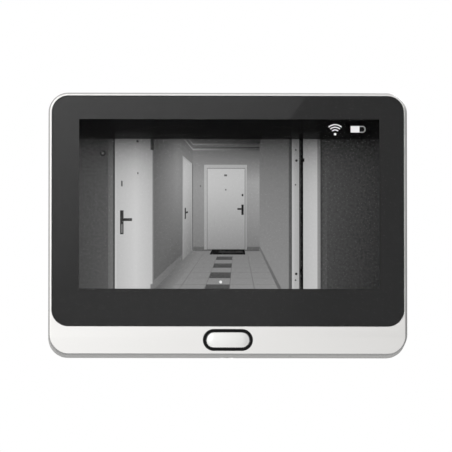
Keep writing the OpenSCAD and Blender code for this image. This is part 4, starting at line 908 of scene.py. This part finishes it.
# Motion sensor dome
# A thin lens moulded in milky polyethylene, its face cut into rings of small lenses, held by a flange.
milky = finish("milky_polyethylene", srgb(232, 231, 225), 0.4, grains=1500, shade=0.04,
               Subsurface_Weight=0.3, Subsurface_Radius=(0.002, 0.002, 0.002))
pir_r, pir_h, pir_wall = 4.8, 2.2, 0.7
pir_bore_r, pir_flange_r = 4.1, 5.7
y_flange_back, y_flange_front, y_dome_rim = 60.0, 60.8, 62.8
ring_count, ring_deep = 5, 0.05
big_r = (pir_r ** 2 + pir_h ** 2) / (2 * pir_h)
lift = np.linspace(np.arccos(pir_r / big_r), np.pi / 2, 61)
way_out = (np.pi / 2 - lift) / (np.pi / 2 - lift[0])
face_r = big_r - ring_deep + ring_deep * np.abs(np.sin(way_out * ring_count * np.pi))
middle_y = y_dome_rim + pir_h - big_r
face = np.column_stack([face_r * np.cos(lift), middle_y + face_r * np.sin(lift)])
hollow_r = big_r - pir_wall
lift_in = np.linspace(np.pi / 2, np.arccos((pir_r - pir_wall) / hollow_r), 13)
hollow = np.column_stack([hollow_r * np.cos(lift_in), middle_y + hollow_r * np.sin(lift_in)])
flange = [(pir_bore_r, y_flange_back), (pir_flange_r, y_flange_back), (pir_flange_r, y_flange_front),
          (pir_r, y_flange_front)]
piece("pir_dome", [
    turned([*flange, *face], (0.0, pir_z)),
    turned([*hollow, flange[0]], (0.0, pir_z)),
], milky, "camera_head", ["pir_dome"])

# Bell button and its light ring
# The ring is a clear light guide with a frosted face. The button is a spun aluminium cap, dished for a
# fingertip, with a lip behind the ring and a stem on the switch.
frosted = finish("frosted_ring", srgb(206, 222, 236), 0.45, grains=2500, shade=0.05, Transmission_Weight=0.3)
ring_in_r, ring_out_r, ring_lip_r = 8.5, 10.2, 10.5
y_ring_back, y_ring_lip, y_ring_front = 59.8, 60.75, 63.0
outer_cut = ((0.0, 0.25), (0.1, 0.07), (0.25, 0.0))
inner_cut = ((0.25, 0.0), (0.07, 0.07), (0.0, 0.25))
ring = [
    (ring_in_r, y_ring_back), (ring_lip_r, y_ring_back), (ring_lip_r, y_ring_lip), (ring_out_r, y_ring_lip),
    *[(ring_out_r - back, y_ring_front - deep) for back, deep in outer_cut],
    *[(ring_in_r + back, y_ring_front - deep) for back, deep in inner_cut], (ring_in_r, y_ring_back),
]
piece("bell_light_ring", [turned(ring, (0.0, bell_z), steps=80)],
      frosted, "camera_head", ["bell_light_ring"])

spun = finish("spun_aluminium", srgb(214, 214, 216), 0.3, grains=900, shade=0.08, rough=0.12, Metallic=0.9)
stem_r, bell_lip_r, cap_r, cap_round = 2.0, 9.4, 8.3, 0.6
y_stem, y_lip_back, y_lip_front, y_cap_front = 57.2, 58.85, 59.75, 63.4
dish_r, dish_deep = 7.6, 0.5
reach = np.linspace(dish_r, 0, 20)
dish = np.column_stack([reach, y_cap_front - dish_deep * (1 - (reach / dish_r) ** 2)])
cap_turn = np.linspace(0, np.pi / 2, 7)
cap_edge = np.column_stack([cap_r - cap_round * (1 - np.cos(cap_turn)),
                            y_cap_front - cap_round * (1 - np.sin(cap_turn))])
cap = [(0, y_stem), (stem_r, y_stem), (stem_r, y_lip_back), (bell_lip_r, y_lip_back),
       (bell_lip_r, y_lip_front), (cap_r, y_lip_front), *cap_edge, *dish]
piece("bell_button", [turned(cap, (0.0, bell_z), steps=80)],
      spun, "bell_button", ["bell_button"], crisp=40)

# Door cable
# A flat ribbon of ten cores in a grey jacket, 69 mm long, from the monitor's board through the barrel to
# the head. It lies in slack waves in the barrel, which draw out as the door gap grows.
low, high = (np.array(corner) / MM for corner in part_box("door_cable"))
jacket = finish("cable_jacket", srgb(120, 121, 124), 0.5, grains=2000, shade=0.1)
cable_w, cable_t, cores, groove_share = 5.0, 0.8, 10, 0.7
waves, straight, swing = 3, 0.16, 3.18
across = np.linspace(-cable_w / 2, cable_w / 2, 61)
ribs = np.abs(np.sin(np.pi * (across / cable_w + 0.5) * cores))
thick = cable_t / 2 * (groove_share + (1 - groove_share) * ribs)
section = np.concatenate([np.column_stack([across, thick]), np.column_stack([across, -thick])[::-1]])
share = np.linspace(0, 1, 97)
near = np.minimum(1, np.minimum(share, 1 - share) / straight)
cable_z = swing * near ** 2 * (3 - 2 * near) * np.sin(2 * np.pi * waves * share)
line = np.column_stack([low[1] + (high[1] - low[1]) * share, cable_z])
along = np.gradient(line, axis=0)
along /= np.linalg.norm(along, axis=1)[:, None]
ribbon = [np.column_stack([section[:, 0], y - slope_z * section[:, 1], z + slope_y * section[:, 1]])
          for (y, z), (slope_y, slope_z) in zip(line, along)]
cable = piece("door_cable", [
    band(*ribbon),
    flat(ribbon[0]),
    flat(ribbon[-1]),
], jacket, None, ["door_cable"])
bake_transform(cable)

# Pieces inside
# Boards, tin cans, battery, sockets, switches and carriers, as the factory fits them: each CAD piece
# keeps its shape and takes its own finish.
tin = finish("tin_plate", srgb(186, 187, 188), 0.3, grains=1800, shade=0.12, rough=0.12, Metallic=1.0)
solder_mask = finish("solder_mask", srgb(24, 92, 52), 0.35, grains=900, shade=0.5, rough=0.1)
dark_plastic = finish("dark_plastic", srgb(44, 44, 46), 0.5, grains=3000, shade=0.15)
tape = finish("black_tape", srgb(22, 22, 23), 0.7, grains=4000, shade=0.2)
dark_cell = finish("dark_cell", srgb(16, 17, 20), 0.2, grains=500, shade=0.15)
tray = finish("backlight_tray", srgb(205, 206, 208), 0.4, grains=900, shade=0.08, Metallic=0.7)
wrap = finish("battery_wrap", srgb(52, 78, 120), 0.35, grains=260, shade=0.2, relief=0.03)
copper_film = finish("copper_film", srgb(168, 118, 62), 0.4, grains=1200, shade=0.2, Metallic=0.6)
cream = finish("cream_nylon", srgb(222, 214, 192), 0.45, grains=2500, shade=0.06)
optical = finish("optical_glass", (0.85, 0.9, 0.97, 1), 0.03, grains=80, shade=0.03, rough=0.01,
                 IOR=1.5, Transmission_Weight=0.9)
red_pane = finish("red_pane", (0.75, 0.3, 0.35, 1), 0.05, grains=80, shade=0.05, rough=0.01,
                  Transmission_Weight=0.8)
inner_finish = {
    "glass_tape": tape, "battery_tape": tape, "lcd_panel": dark_cell, "lcd_backlight": tray,
    "mid_frame": dark_plastic, "frame_screws": zinc, "board_screws": zinc, "barrel_screws": zinc,
    "head_screws": zinc, "main_board": solder_mask, "head_board": solder_mask, "processor_shield": tin,
    "wifi_module": tin, "wifi_antenna": copper_film, "battery": wrap, "speaker": dark_plastic,
    "microphone": tin, "home_switch": tin, "home_switch_plunger": cream, "door_cable_socket": cream,
    "door_cable_plug": cream, "head_cable_socket": cream, "head_base": dark_plastic, "head_seal": rubber,
    "image_sensor": dark_cell, "lens_holder": dark_plastic, "lens_rear": optical, "pir_sensor": tin,
    "bell_switch": dark_plastic, "bell_switch_plunger": cream, "bell_speaker": dark_plastic,
    "bell_microphone": tin, "ir_filter_carrier": dark_plastic, "ir_filter_panes": red_pane,
}
for node, material in inner_finish.items():
    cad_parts[node].data.materials.clear()
    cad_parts[node].data.materials.append(material)
